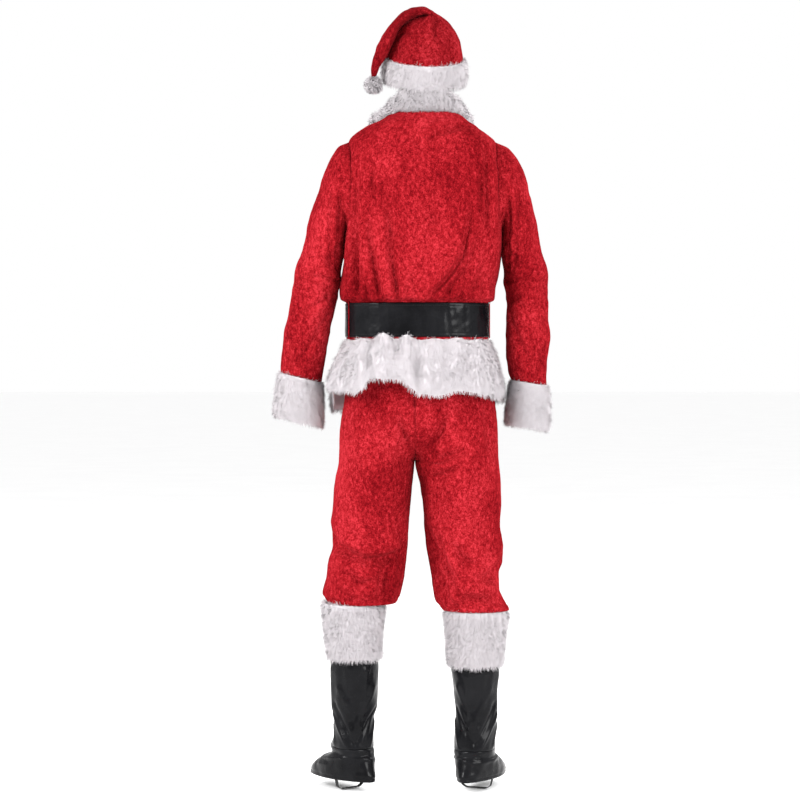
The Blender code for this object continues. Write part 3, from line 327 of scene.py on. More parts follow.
def smooth(xs, ys, x):
    """Value at x of the monotone cubic curve through the points (xs, ys)."""
    step = np.diff(xs)
    slope = np.diff(ys) / step
    both = slope[:-1] * slope[1:]
    total = slope[:-1] + slope[1:]
    middle = np.where(both > 0, 2 * both / np.where(both > 0, total, 1.0), 0.0)
    tangent = np.concatenate(([slope[0]], middle, [slope[-1]]))
    x = np.asarray(x, float)
    i = np.clip(np.searchsorted(xs, x) - 1, 0, len(step) - 1)
    t = np.clip((x - xs[i]) / step[i], 0.0, 1.0)
    return cubic(ys[i], ys[i + 1], tangent[i] * step[i], tangent[i + 1] * step[i], t)


def read(source, column, x, by="height"):
    """A table's column at x, read along the column named by."""
    return smooth(source[by], source[column], x)


def power(value, square):
    """Signed power that squares off an ellipse."""
    return np.sign(value) * np.abs(value) ** (2.0 / square)


def stack(x, y, z):
    """Points from three arrays of the same shape."""
    x, y, z = np.broadcast_arrays(x, y, z)
    return np.stack((x, y, z), axis=-1).astype(float)


def unit(vectors):
    """The vectors at length one."""
    return vectors / np.maximum(np.linalg.norm(vectors, axis=-1, keepdims=True), 1e-9)


def normals(grid, closed):
    """Unit normals of a grid of points, away from the middle of each row."""
    across = np.gradient(grid, axis=1)
    if closed:
        across = np.roll(grid, -1, axis=1) - np.roll(grid, 1, axis=1)
    normal = unit(np.cross(across, np.gradient(grid, axis=0)))
    away = grid - grid.mean(axis=1, keepdims=True)
    return normal * (1.0 if np.sum(normal * away) > 0 else -1.0)


def blur(grid, closed):
    """A grid smoothed over its neighbours, its ends kept."""
    out = grid
    ends = ([-1], [0]) if closed else ([0], [-1])
    for _ in range(3):
        wide = np.concatenate((out[:, ends[0]], out, out[:, ends[1]]), axis=1)
        out = (wide[:, :-2] + 2 * wide[:, 1:-1] + wide[:, 2:]) / 4
        tall = np.concatenate((out[:1], out, out[-1:]))
        new = (tall[:-2] + 2 * tall[1:-1] + tall[2:]) / 4
        new[0], new[-1] = out[0], out[-1]
        out = new
    return out


def metres(points):
    """Points in millimetres above the ground as metres in the part's frame."""
    return (np.asarray(points, float) - (0.0, 0.0, MOUNT_HEIGHT)) / 1000.0


def linked(name, data):
    """A new object in the scene."""
    thing = bpy.data.objects.new(name, data)
    bpy.context.scene.collection.objects.link(thing)
    return thing


def dressed(name, mesh, finish):
    """The piece of a mesh, in its finish and riding the root body."""
    mesh.materials.append(MATERIALS[finish])
    piece = linked(name, mesh)
    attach(piece, "root")
    return piece


def build(name, points, faces, finish, node):
    """One piece from points and faces, standing for its node."""
    mesh = bpy.data.meshes.new(name)
    mesh.from_pydata(metres(points).tolist(), [], faces)
    mesh.shade_smooth()
    piece = dressed(name, mesh, finish)
    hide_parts(node)
    return piece


def ring_faces(rings, around, closed=False, flip=False, first=0):
    """Four-sided faces between rings of points that follow one another."""
    faces = []
    for i in range(rings if closed else rings - 1):
        step = ((i + 1) % rings - i) * around
        for k in range(around):
            a, b = (first + i * around + j % around for j in (k, k + 1))
            faces.append((a, a + step, b + step, b) if flip else (a, b, b + step, a + step))
    return faces


def shell(name, outer, inner, finish, node, closed=False, capped=False):
    """A closed thin wall: a fine outer grid over an inner one of every third point."""
    rows, columns = outer.shape[:2]
    step = COARSE
    coarse = inner[::step, ::step]
    deep, wide = coarse.shape[:2]
    span, inner_span = (columns, wide) if closed else (columns - 1, wide - 1)
    assert (rows - 1) % step == 0 and span % step == 0, name
    base = rows * columns
    faces = []

    def top(row, column):
        return row * columns + column % columns

    def under(row, column):
        return base + row * wide + column % wide

    for row in range(rows - 1):
        for column in range(span):
            faces.append((top(row, column), top(row, column + 1), top(row + 1, column + 1), top(row + 1, column)))
    for row in range(deep - 1):
        for column in range(inner_span):
            faces.append((under(row + 1, column), under(row + 1, column + 1),
                          under(row, column + 1), under(row, column)))
    for j in range(inner_span):
        run = [j * step + k for k in range(step + 1)]
        faces.append(tuple([top(0, c) for c in reversed(run)] + [under(0, j), under(0, j + 1)]))
        if not capped:
            faces.append(tuple([top(rows - 1, c) for c in run] + [under(deep - 1, j + 1), under(deep - 1, j)]))
    if capped:
        faces.append(tuple(top(rows - 1, c) for c in range(columns)))
        faces.append(tuple(under(deep - 1, c) for c in reversed(range(wide))))
    if not closed:
        last = columns - 1
        for i in range(deep - 1):
            run = [i * step + k for k in range(step + 1)]
            faces.append(tuple([top(r, 0) for r in run] + [under(i + 1, 0), under(i, 0)]))
            faces.append(tuple([top(r, last) for r in reversed(run)] + [under(i, wide - 1), under(i + 1, wide - 1)]))
    normal = np.cross(outer[:-1, 1:] - outer[:-1, :-1], outer[1:, :-1] - outer[:-1, :-1])
    if np.sum(normal * (outer - inner)[:-1, :-1]) < 0:
        faces = [tuple(reversed(face)) for face in faces]
    points = np.concatenate((outer.reshape(-1, 3), coarse.reshape(-1, 3)))
    return build(name, points, faces, finish, node)


def cloth(node, outer, closed=False, thick=CLOTH, capped=False, level_ends=(True, True), finish="red_velvet",
          ending="_cloth"):
    """A thin wall inside a grid of outer points, standing for its node."""
    calm = blur(outer, closed)
    away = normals(calm, closed)
    sunk = np.clip(np.sum((calm - outer) * away, axis=-1) - 0.8, 0.0, None)
    inner = calm - (thick + 0.8 + sunk)[..., None] * away
    for row, level in zip((0, -1), level_ends):
        if level:
            inner[row] = outer[row] - thick * normals(outer, closed)[row]
            inner[row, :, 2] = outer[row, :, 2]
    return shell(node + ending, outer, inner, finish, node, closed, capped)


def fold_lift(points, folds, low=-1e9, high=1e9):
    """How far the folds raise each point, fading out toward the heights low and high."""
    lift = np.zeros(points.shape[:-1])
    for x0, h0, x1, h1, width, depth, side in zip(*folds.values()):
        start, run = np.array((x0, h0)), np.array((x1 - x0, h1 - h0))
        place = points[..., (0, 2)] - start
        t = np.clip(place @ run / (run @ run), 0.0, 1.0)
        distance = np.linalg.norm(place - t[..., None] * run, axis=-1)
        facing = np.clip(points[..., 1] * side / 60.0, 0.0, 1.0)
        lift += depth * bell(distance, width) * facing
    fade = np.clip((points[..., 2] - low) / 15.0, 0.0, 1.0)
    return lift * fade * np.clip((high - points[..., 2]) / 25.0, 0.0, 1.0)


def crease_lift(points, creases):
    """How far creases sink each point; they fade at their ends, but not where they end under the belt."""
    sunk = np.zeros(points.shape[:-1])
    place = points[..., (0, 2)]
    for width, depth, side, *line in creases:
        line = np.array(line, float)
        lengths = np.linalg.norm(np.diff(line, axis=0), axis=1)
        best, share = np.full(sunk.shape, np.inf), np.zeros(sunk.shape)
        for start, run, before, length in zip(line, np.diff(line, axis=0), np.cumsum(lengths) - lengths, lengths):
            t = np.clip((place - start) @ run / (run @ run), 0.0, 1.0)
            distance = np.linalg.norm(place - start - t[..., None] * run, axis=-1)
            nearer = distance < best
            best = np.where(nearer, distance, best)
            share = np.where(nearer, (before + t * length) / lengths.sum(), share)
        reach = 0.5 if BELT_CREASE_ENDS[0] < line[-1, 1] < BELT_CREASE_ENDS[1] else 1.0
        fade = np.sin(math.pi * np.clip(share * reach, 0.02, 0.98)) ** 0.7
        facing = np.clip(points[..., 1] * side / 60.0, 0.0, 1.0)
        bank = 0.16 * bell(best - 2.4 * width, 1.2 * width)
        sunk += depth * fade * facing * (bell(best, width) - bank)
    return -sunk


def streaks(down, across, source, girth=1.0, wrap=True):
    """How far ridges and troughs, each between two points down and across a surface, raise it."""
    lift = 0.0
    for d0, c0, d1, c1, width, depth in zip(*source.values()):
        run = np.array((d1 - d0, (c1 - c0) * girth))
        beside = (across - c0 + 0.5) % 1.0 - 0.5 if wrap else across - c0
        off = np.stack(np.broadcast_arrays(down - d0, beside * girth), axis=-1)
        t = np.clip(off @ run / (run @ run), 0.0, 1.0)
        lift = lift + depth * bell(np.linalg.norm(off - t[..., None] * run, axis=-1), width)
    return lift


def ripple(points, size, seed, stretch=(1.0, 1.0, 1.0)):
    """Smooth random waves of about that size, between -1 and 1."""
    local = np.random.default_rng(seed)
    total = np.zeros(points.shape[:-1])
    for _ in range(9):
        direction = local.normal(size=3) * np.array(stretch)
        direction /= np.linalg.norm(direction)
        total += np.sin(points @ direction * 2 * math.pi / (size * local.uniform(0.7, 1.5)) + local.uniform(0, 6.28))
    return total / 4.0


def texture(tree, scale, detail, rough, distort=0.0, stretch=(1.0, 1.0, 1.0)):
    """A noise texture in the object's own coordinates."""
    place = tree.nodes.new("ShaderNodeTexCoord")
    mapping = tree.nodes.new("ShaderNodeMapping")
    mapping.inputs["Scale"].default_value = stretch
    noise = tree.nodes.new("ShaderNodeTexNoise")
    for socket, value in (("Scale", scale), ("Detail", detail), ("Roughness", rough), ("Distortion", distort)):
        noise.inputs[socket].default_value = value
    tree.links.new(place.outputs["Object"], mapping.inputs["Vector"])
    tree.links.new(mapping.outputs["Vector"], noise.inputs["Vector"])
    return noise.outputs["Fac"]


def mixed(tree, a, b, share):
    """Two values mixed."""
    mix = tree.nodes.new("ShaderNodeMix")
    mix.inputs["Factor"].default_value = share
    tree.links.new(a, mix.inputs["A"])
    tree.links.new(b, mix.inputs["B"])
    return mix.outputs["Result"]


def ramp(tree, value, *stops):
    """A colour ramp over a value; each stop is a place and a colour."""
    made = tree.nodes.new("ShaderNodeValToRGB")
    elements = made.color_ramp.elements
    while len(elements) < len(stops):
        elements.new(0.5)
    for element, (place, colour) in zip(elements, stops):
        element.position = place
        element.color = (*colour, 1.0)
    tree.links.new(value, made.inputs["Fac"])
    return made.outputs["Color"]


def spread(tree, value, low, high, first=0.3, last=0.7):
    """A value moved from its range first to last onto low to high."""
    made = tree.nodes.new("ShaderNodeMapRange")
    for socket, number in (("From Min", first), ("From Max", last), ("To Min", low), ("To Max", high)):
        made.inputs[socket].default_value = number
    tree.links.new(value, made.inputs["Value"])
    return made.outputs["Result"]


def bumped(tree, shader, *layers):
    """Bump layers, each a height, a strength and a distance in metres."""
    last = None
    for height, strength, distance in layers:
        bump = tree.nodes.new("ShaderNodeBump")
        bump.inputs["Strength"].default_value = strength
        bump.inputs["Distance"].default_value = distance
        tree.links.new(height, bump.inputs["Height"])
        if last is not None:
            tree.links.new(last, bump.inputs["Normal"])
        last = bump.outputs["Normal"]
    tree.links.new(last, shader.inputs["Normal"])


def surface(name, **sockets):
    """A Principled material with plain numbers on its sockets."""
    made = bpy.data.materials.new(name)
    made.use_nodes = True
    shader = made.node_tree.nodes["Principled BSDF"]
    for socket, value in sockets.items():
        shader.inputs[socket.replace("_", " ")].default_value = value
    return made, made.node_tree, shader


def painted(tree, shader, tone, stops, rough, *layers):
    """Colour and roughness that follow one tone, and bump layers."""
    tree.links.new(ramp(tree, tone, *stops), shader.inputs["Base Color"])
    tree.links.new(spread(tree, tone, *rough), shader.inputs["Roughness"])
    bumped(tree, shader, *layers)


def velvet(name="crushed_velvet", dark=1.0):
    """Crushed pile: patches that lie one way or the other, dark and bright, drawn out down the cloth."""
    made, tree, shader = surface(name, Sheen_Weight=0.10, Sheen_Roughness=0.35,
                                 Sheen_Tint=(1.0, 0.10, 0.12, 1.0), Specular_IOR_Level=0.0)
    patches = texture(tree, 150.0, 4.0, 0.62, 0.4, (1.0, 1.0, 0.65))
    flecks = texture(tree, 420.0, 3.0, 0.65, 0.3, (1.0, 1.0, 0.75))
    broad = texture(tree, 9.0, 3.0, 0.5, 0.6, (1.0, 1.0, 0.5))
    nap = texture(tree, 1400.0, 2.0, 0.6)
    crush = mixed(tree, patches, flecks, 0.52)
    tone = mixed(tree, crush, broad, 0.25)
    stops = ((0.40, (0.078, 0.0016, 0.003)), (0.475, (0.150, 0.0040, 0.0065)),
             (0.525, (0.218, 0.0080, 0.0115)), (0.60, (0.345, 0.020, 0.028)))
    stops = [(place, tuple(dark * part for part in shade)) for place, shade in stops]
    painted(tree, shader, tone, stops, (0.62, 0.36), (crush, 0.5, 0.0016), (nap, 0.25, 0.0006))
    return made


def fur():
    """Soft white pile."""
    made, tree, shader = surface("white_pile", Sheen_Weight=0.25, Sheen_Roughness=0.5, Specular_IOR_Level=0.2)
    tufts = texture(tree, 90.0, 3.0, 0.6, 0.4)
    hairs = texture(tree, 900.0, 2.0, 0.6)
    tone = mixed(tree, tufts, hairs, 0.4)
    stops = ((0.30, (0.485, 0.45, 0.467)), (0.50, (0.52, 0.486, 0.505)), (0.70, (0.552, 0.528, 0.547)))
    painted(tree, shader, tone, stops, (0.75, 0.95), (hairs, 0.3, 0.0008))
    return made


def vinyl():
    """Glossy coated cloth with a fine grain and soft crumples."""
    made, tree, shader = surface("coated_cloth", Coat_Weight=0.06, Coat_Roughness=0.10, Specular_IOR_Level=0.05)
    grain = texture(tree, 1100.0, 2.0, 0.5)
    crumple = texture(tree, 38.0, 3.0, 0.55, 0.7)
    wear = texture(tree, 16.0, 4.0, 0.6)
    stops = ((0.3, (0.002, 0.002, 0.0025)), (0.7, (0.006, 0.006, 0.007)))
    painted(tree, shader, wear, stops, (0.20, 0.36), (crumple, 0.35, 0.004), (grain, 0.12, 0.0004))
    return made


def metal():
    """Brushed yellow metal with faint scuffs."""
    made, tree, shader = surface("buckle_brass", Metallic=1.0)
    scuffs = texture(tree, 160.0, 4.0, 0.6, 0.0, (1.0, 1.0, 6.0))
    stops = ((0.3, (0.62, 0.42, 0.13)), (0.7, (0.86, 0.64, 0.26)))
    painted(tree, shader, scuffs, stops, (0.18, 0.36), (scuffs, 0.08, 0.0003))
    return made


def elastic():
    """Matt woven elastic."""
    made, tree, shader = surface("woven_elastic", Specular_IOR_Level=0.2)
    weave = texture(tree, 700.0, 2.0, 0.5, 0.0, (1.0, 3.0, 1.0))
    stops = ((0.35, (0.008, 0.008, 0.008)), (0.65, (0.035, 0.035, 0.036)))
    painted(tree, shader, weave, stops, (0.7, 0.9), (weave, 0.5, 0.0006))
    return made


MATERIALS = {
    "red_velvet": velvet(), "white_fur": fur(), "black_vinyl": vinyl(),
    "buckle_metal": metal(), "black_elastic": elastic(),
}
HAT_VELVET = velvet("hat_velvet", 0.78)


def torso_surface(turn, height, out=0.0):
    """Jacket surface; turn runs 0 back, 0.25 right side, 0.5 front, 0.75 left side."""
    angle = 2 * math.pi * np.asarray(turn, float)
    half_width = read(TORSO, "half_width", height) + out
    half_depth = read(TORSO, "half_depth", height) + out
    square = read(TORSO, "square", height)
    x = read(TORSO, "centre_x", height) + half_width * power(np.sin(angle), square)
    y = -half_depth * power(np.cos(angle), square)
    return stack(x, y, height)


def neck_height(turn):
    """Height of the neckline at a turn."""
    return read(NECKLINE, "height", 0.5 - np.abs((np.asarray(turn) % 1.0) - 0.5), "turn")


def seam_dip(grid, outward, depth, reach):
    """Sinks a grid's points near its first and last column."""
    steps = np.linalg.norm(np.diff(grid, axis=1), axis=-1)
    along = np.concatenate((np.zeros((len(grid), 1)), np.cumsum(steps, axis=1)), axis=1)
    for distance in (along, along[:, -1:] - along):
        grid = grid - outward * (depth * bell(distance, reach))[..., None]
    return grid


BODY_ROWS, ARMHOLE_ROWS, NECK_ROWS, SEAM_TURN = 72, 64, 18, 0.000002


def jacket_panel(first, last, columns):
    """Outer points of a body panel between two turns, cut back round the armholes."""
    share = np.linspace(0.0, 1.0, columns + 1)
    side_first = abs((first % 0.5) - 0.25) < 0.01
    side_last = abs((last % 0.5) - 0.25) < 0.01

    def turns(reach):
        begin = first + (reach if side_first else 0.0)
        end = last - (reach if side_last else 0.0)
        return begin + (end - begin) * share

    places = []
    for level in np.linspace(JACKET_BOTTOM, PIT_HEIGHT, BODY_ROWS + 1)[:-1]:
        places.append((turns(0.0), np.full(columns + 1, level)))
    middle, radius = (PIT_HEIGHT + SHOULDER_HEIGHT) / 2, (SHOULDER_HEIGHT - PIT_HEIGHT) / 2
    for angle in np.linspace(math.pi, 0.0, ARMHOLE_ROWS):
        places.append((turns(ARMHOLE_REACH * math.sin(angle)),
                       np.full(columns + 1, middle + radius * math.cos(angle))))
    turn = turns(0.0)
    for step in np.linspace(0.0, 1.0, NECK_ROWS + 1)[1:]:
        places.append((turn, SHOULDER_HEIGHT + (neck_height(turn) - SHOULDER_HEIGHT) * step))
    turn, level = (np.array(part) for part in zip(*places))
    grid = torso_surface(turn, level)
    outward = normals(grid, False)
    low, high = FOLD_RANGE
    lift = fold_lift(grid, JACKET_FOLDS, low, high)
    edge_share = np.clip(np.minimum(share, 1 - share) / 0.05, 0.0, 1.0)[None, :]
    lift += (CREASE_DEPTH * crease_lift(grid, JACKET_CREASES) * edge_share * np.clip((level - low) / 26.0, 0.0, 1.0)
             * np.clip((high - level) / 12.0, 0.0, 1.0))
    round_it = 2 * math.pi * turn
    gather = (np.sin(31 * round_it + 2 * np.sin(3 * round_it)) + 0.7 * np.sin(47 * round_it + 1.3)
              + 0.5 * np.sin(19 * round_it + 0.4))
    near = np.clip((level - low) / 10.0, 0.0, 1.0) * bell(np.clip(level - BLOUSE_TURN, 0.0, None), 34.0)
    lift += 1.3 * gather * near
    calm = np.clip((level - low) / 15.0, 0.0, 1.0) * np.clip((high - level) / 20.0, 0.0, 1.0)
    lift += calm * (ripple(grid, 70.0, 1, (1, 1, 0.5)) + 0.5 * ripple(grid, 24.0, 2, (1, 1, 0.5)))
    at_seam = np.clip(np.minimum(share, 1 - share) / 0.04, 0.0, 1.0)[None, :]
    lift = np.where(level > SHOULDER_HEIGHT, lift * at_seam, lift)
    grid = grid + outward * lift[..., None]
    sag = 3.0 + 1.6 * np.sin(9 * round_it + 0.7) + 1.4 * np.sin(23 * round_it)
    grid[..., 2] -= sag * bell(level - BLOUSE_LOW, 8.0)
    return seam_dip(grid, outward, 0.15, 2.5), grid


def jacket():
    """Back and two fronts; returns their armhole edges for the sleeves."""
    panels = (
        ("jacket_back", -0.25, 0.25, 189, (0.52, 0.53)),
        ("jacket_front_right", 0.25, 0.5, 66, (0.26, 0.48)),
        ("jacket_front_left", 0.5, 0.75, 66, (0.26, 0.48)),
    )
    edges = {}
    for name, first, last, columns, flat in panels:
        grid, edges[name] = jacket_panel(first + SEAM_TURN, last - SEAM_TURN, columns)
        piece = cloth(name, grid, level_ends=(True, False))
    return edges


def fan_ring(source, i, angles, square=2.1):
    """One ring between an outer and an inner point, its depth along Y; angle 0 is the outer one."""
    outer = np.array((source["outer_x"][i], source["outer_h"][i]))
    inner = np.array((source["inner_x"][i], source["inner_h"][i]))
    middle, half = (outer + inner) / 2, (outer - inner) / 2
    c, s = power(np.cos(angles), square), power(np.sin(angles), square)
    y = -source["half_depth"][i] * s
    rise = source["rise"][i] * y if "rise" in source else 0.0
    return stack(middle[0] + half[0] * c, source["centre_y"][i] + y, middle[1] + half[1] * c + rise)


def loft(rings, rows):
    """A smooth surface through rings, its rows evenly spaced along it, and each row's share."""
    rings = np.array(rings)
    gaps = np.linalg.norm(np.diff(rings, axis=0), axis=-1).mean(axis=1)
    at = np.concatenate(([0.0], np.cumsum(gaps)))
    slope = np.diff(rings, axis=0) / gaps[:, None, None]
    tangent = np.concatenate((slope[:1], slope[:1].repeat(len(slope) - 1, axis=0), slope[-1:]))
    for i in range(1, len(slope)):
        tangent[i] = (slope[i - 1] * gaps[i] + slope[i] * gaps[i - 1]) / (gaps[i] + gaps[i - 1])
    out = []
    for place in np.linspace(0.0, at[-1], rows):
        i = int(np.clip(np.searchsorted(at, place) - 1, 0, len(gaps) - 1))
        t, h = (place - at[i]) / gaps[i], gaps[i]
        out.append(cubic(rings[i], rings[i + 1], tangent[i] * h, tangent[i + 1] * h, t))
    return np.array(out), np.linspace(0.0, 1.0, rows)


# A sleeve's length, and its girth as a share of that.
SLEEVE_ROWS, SLEEVE_LENGTH, SLEEVE_GIRTH = 115, 560.0, 0.7


def sleeve(side, source, edges):
    """A sleeve from its armhole to the wrist, with soft folds round the elbow."""
    right = side == "right"
    back = edges["jacket_back"][BODY_ROWS:BODY_ROWS + ARMHOLE_ROWS, -1 if right else 0][::-1]
    front = edges["jacket_front_" + side][BODY_ROWS:BODY_ROWS + ARMHOLE_ROWS, 0 if right else -1]
    hole = np.concatenate((back, front[1:-1]))
    hole = hole + unit(hole.mean(axis=0) - hole) * 0.1
    count = len(hole)
    angles = 2 * math.pi * turns_of(count)
    rings = [hole] + [fan_ring(source, i, angles) for i in range(len(source["outer_x"]))]
    grid, share = loft(rings, SLEEVE_ROWS)
    along, across = share[:, None], turns_of(count)[None, :]
    lift = np.zeros(grid.shape[:2])
    for place, turn, width, span, depth in zip(*SLEEVE_FOLDS.values()):
        near = np.abs((across - turn + 0.5) % 1.0 - 0.5)
        lift += depth * np.exp(-(((along - place) / width) ** 2) - (near / span) ** 2)
    lift += streaks(along, across, SLEEVE_SLANTS, SLEEVE_GIRTH, wrap=False)
    lift += 1.2 * ripple(grid, 60.0, 3 + right, (1, 1, 0.6)) + 0.5 * ripple(grid, 22.0, 5 + right, (1, 1, 0.6))
    lift *= np.clip(along / 0.05, 0.0, 1.0) * np.clip((1 - along) / 0.03, 0.0, 1.0)
    lift -= 0.1 * bell(along * SLEEVE_LENGTH, 3.0)
    grid = grid + normals(grid, True) * lift[..., None]
    piece = cloth("sleeve_" + side, grid, closed=True, level_ends=(False, False))
    return grid[-1]


LEG_ROWS, FORK_ROWS, HIP_ROWS, TROUSER_COLUMNS = 98, 39, 50, 66
SEAM_TRIM, CENTRE_GAP = 0.00005, 0.04


def leg_ring(source, height, along, front):
    """Half a leg's ring from the side seam (along 0) to the inseam (along 1)."""
    outer_x, inner_x = read(source, "outer_x", height), read(source, "inner_x", height)
    angle = math.pi * along
    x = (outer_x + inner_x) / 2 + (outer_x - inner_x) / 2 * power(np.cos(angle), LEG_SQUARE)
    depth = read(source, "half_depth", height) * power(np.sin(angle), LEG_SQUARE)
    y = read(source, "centre_y", height) + (depth if front else -depth)
    return stack(x, y, height)


def hip_ring(height, along, side, front):
    """A quarter of the hips from the side seam to the centre seam."""
    centre, reach = read(HIPS, "centre_x", height), read(HIPS, "half_width", height)
    seam = side * (MID_X - centre) / reach
    angle = math.acos(np.sign(seam) * abs(seam) ** (HIP_SQUARE / 2)) * along
    x = centre + side * reach * power(np.cos(angle), HIP_SQUARE)
    depth = read(HIPS, "half_depth", height) * power(np.sin(angle), HIP_SQUARE)
    return stack(x, depth if front else -depth, height)


def trouser_panel(place, source, side, front, seed):
    """One of four panels, from the hem up the leg and over the hip to the waistband."""
    along = SEAM_TRIM + (1 - 2 * SEAM_TRIM) * np.linspace(0.0, 1.0, TROUSER_COLUMNS + 1)
    hem = float(source["height"][0]) + SEAM
    rows = [leg_ring(source, h, along, front) for h in np.linspace(hem, FORK_HEIGHT, LEG_ROWS + 1)[:-1]]
    for step in np.linspace(0.0, 1.0, FORK_ROWS + 1)[:-1] ** 1.6:
        height = FORK_HEIGHT + (FORK_CURVE_TOP - FORK_HEIGHT) * step
        share = step * step * (3 - 2 * step)
        share = share + (math.sqrt(1 - (1 - step) ** 2) - share) * along[:, None] ** 3
        leg = leg_ring(source, height, along, front)
        rows.append(leg * (1 - share) + hip_ring(height, along, side, front) * share)
    for height in np.linspace(FORK_CURVE_TOP, HIP_TOP, HIP_ROWS):
        rows.append(hip_ring(height, along, side, front))
    grid = np.array(rows)
    grid[LEG_ROWS:, -1, 0] = MID_X + side * CENTRE_GAP
    outward = normals(grid, False)
    level = grid[..., 2]
    edge_share = np.clip(np.minimum(along, 1 - along) / 0.07, 0.0, 1.0)[None, :]
    lift = fold_lift(grid, TROUSER_FOLDS) + CREASE_DEPTH * crease_lift(grid, TROUSER_CREASES) * edge_share
    lift += 1.1 * ripple(grid, 70.0, seed, (1, 1, 0.6)) + 0.5 * ripple(grid, 24.0, seed + 1, (1, 1, 0.6))
    above = level - hem
    turn = along[None, :] * 2 * math.pi
    gather = np.sin(6 * turn + seed) + 0.6 * np.sin(11 * turn + 2 * seed)
    lift += 1.4 * gather * bell(above - 14.0, 16.0)
    lift -= 1.8 * bell(above - 12.0, 2.6)
    lift *= np.clip(above / 4.0, 0.25, 1.0) * np.clip((HIP_TOP - level) / 60.0, 0.0, 1.0)
    lift *= np.clip(np.minimum(along, 1 - along) / 0.03, 0.0, 1.0)[None, :]
    grid = grid + outward * lift[..., None]
    grid = seam_dip(grid, outward, 0.9, 3.2)
    grid[LEG_ROWS:, -1, 0] = MID_X + side * CENTRE_GAP
    piece = cloth(f"trouser_{'front' if front else 'back'}_{place}", grid)


def trousers():
    """Waistband and four panels."""
    for side, place, source in ((-1, "left", LEG_LEFT), (1, "right", LEG_RIGHT)):
        for front, seed in ((False, 10), (True, 20)):
            trouser_panel(place, source, side, front, seed + side)
    turns = turns_of(240)
    waves = 0.35 * np.sin(2 * math.pi * 40 * turns)
    levels = np.linspace(WAIST_LOW, WAIST_HIGH, 13)
    grid = np.array([torso_surface(turns, level, -CLOTH - SEAM - 0.9) for level in levels])
    grid += normals(grid, True) * (waves * np.sin(np.linspace(0, math.pi, 13))[:, None])[..., None]
    piece = cloth("trouser_waistband", grid, closed=True)


DOWNWARD, BACKING_SUNK = np.array((0.0, 0.0, -1.0)), 0.55


def pile(name, grid, closed, count, length, down, seed, width=0.9, fluff=0.34):
    """Fur strands of three triangles each, rooted all over a grid of points."""
    local = np.random.default_rng(seed)
    outward = normals(grid, closed)
    if closed:
        grid = np.concatenate((grid, grid[:, :1]), axis=1)
        outward = np.concatenate((outward, outward[:, :1]), axis=1)
    area = np.linalg.norm(np.cross(grid[1:, 1:] - grid[:-1, :-1], grid[1:, :-1] - grid[:-1, 1:]), axis=-1) / 2
    cell = local.choice(area.size, size=count, p=(area / area.sum()).ravel())
    row, column = np.unravel_index(cell, area.shape)
    u, v = local.random(count)[:, None], local.random(count)[:, None]

    def at(field):
        return ((field[row, column] * (1 - u) + field[row + 1, column] * u) * (1 - v)
                + (field[row, column + 1] * (1 - u) + field[row + 1, column + 1] * u) * v)

    root, normal = at(grid), unit(at(outward))
    waves = [ripple(root, size, seed + k) for k, size in enumerate((26.0, 26.0, 26.0, 9.0, 9.0, 9.0, 18.0))]
    tuft = np.stack(waves[:3], axis=-1) * 0.55 + np.stack(waves[3:6], axis=-1) * 0.45
    way = normal + DOWNWARD * down + fluff * tuft + 0.22 * local.normal(size=(count, 3))
    away = np.sum(way * normal, axis=-1, keepdims=True)
    way = unit(way + normal * np.clip(0.25 - away, 0.0, None))
    bend = unit(way + DOWNWARD * 0.55 * down + 0.30 * local.normal(size=(count, 3)) + 0.5 * fluff * tuft)
    reach = length * local.uniform(0.65, 1.12, (count, 1)) * (1 + 0.18 * waves[6][:, None])
    middle = root + way * reach * 0.5
    tip = middle + bend * reach * 0.5
    flat = unit(np.cross(way, normal) + 1e-9)
    tilt = local.uniform(-0.4, 0.4, (count, 1))
    side = unit(flat * np.cos(tilt) + np.cross(flat, way) * np.sin(tilt)) * width / 2
    corners = np.stack((root - side, root + side, middle + side * 0.75, middle - side * 0.75, tip), axis=1)
    start = 5 * np.arange(count)[:, None]
    quads, ends = start + np.array((0, 1, 2, 3)), start + np.array((3, 2, 4))
    piece = mesh_from_arrays(name, corners.reshape(-1, 3), quads, ends, "white_fur")
    soft = unit(normal * 1.5 + way * 0.3 + 0.14 * local.normal(size=(count, 3)))
    piece.data.normals_split_custom_set_from_vertices(np.repeat(soft, 5, axis=0).tolist())
    return piece


def mesh_from_arrays(name, points, quads, ends, finish):
    """One piece from arrays of points, four-sided and three-sided faces."""
    mesh = bpy.data.meshes.new(name)
    placed = metres(points)
    corners = np.concatenate((quads.ravel(), ends.ravel()))
    sizes = np.concatenate((np.full(len(quads), 4), np.full(len(ends), 3)))
    mesh.vertices.add(len(placed))
    mesh.vertices.foreach_set("co", placed.ravel())
    mesh.loops.add(len(corners))
    mesh.loops.foreach_set("vertex_index", corners)
    mesh.polygons.add(len(sizes))
    mesh.polygons.foreach_set("loop_start", np.concatenate(([0], np.cumsum(sizes)[:-1])))
    mesh.polygons.foreach_set("use_smooth", np.ones(len(sizes), bool))
    mesh.update(calc_edges=True)
    return dressed(name, mesh, finish)


def refine(grid, closed, rows, columns):
    """A grid resampled to more rows and columns along smooth curves."""
    tall, _ = loft(grid, rows)
    turned = np.swapaxes(tall, 0, 1)
    if closed:
        turned = np.concatenate((turned, turned[:1]))
    count = len(turned)
    at = np.arange(count, dtype=float)
    tangent = np.gradient(turned, axis=0)
    if closed:
        tangent[0] = tangent[-1] = (turned[1] - turned[-2]) / 2
    wanted = np.linspace(0.0, count - 1, columns + 1)[: columns if closed else columns + 1]
    i = np.clip(np.searchsorted(at, wanted, side="right") - 1, 0, count - 2)
    t = (wanted - at[i])[:, None, None]
    return np.swapaxes(cubic(turned[i], turned[i + 1], tangent[i], tangent[i + 1], t), 0, 1)


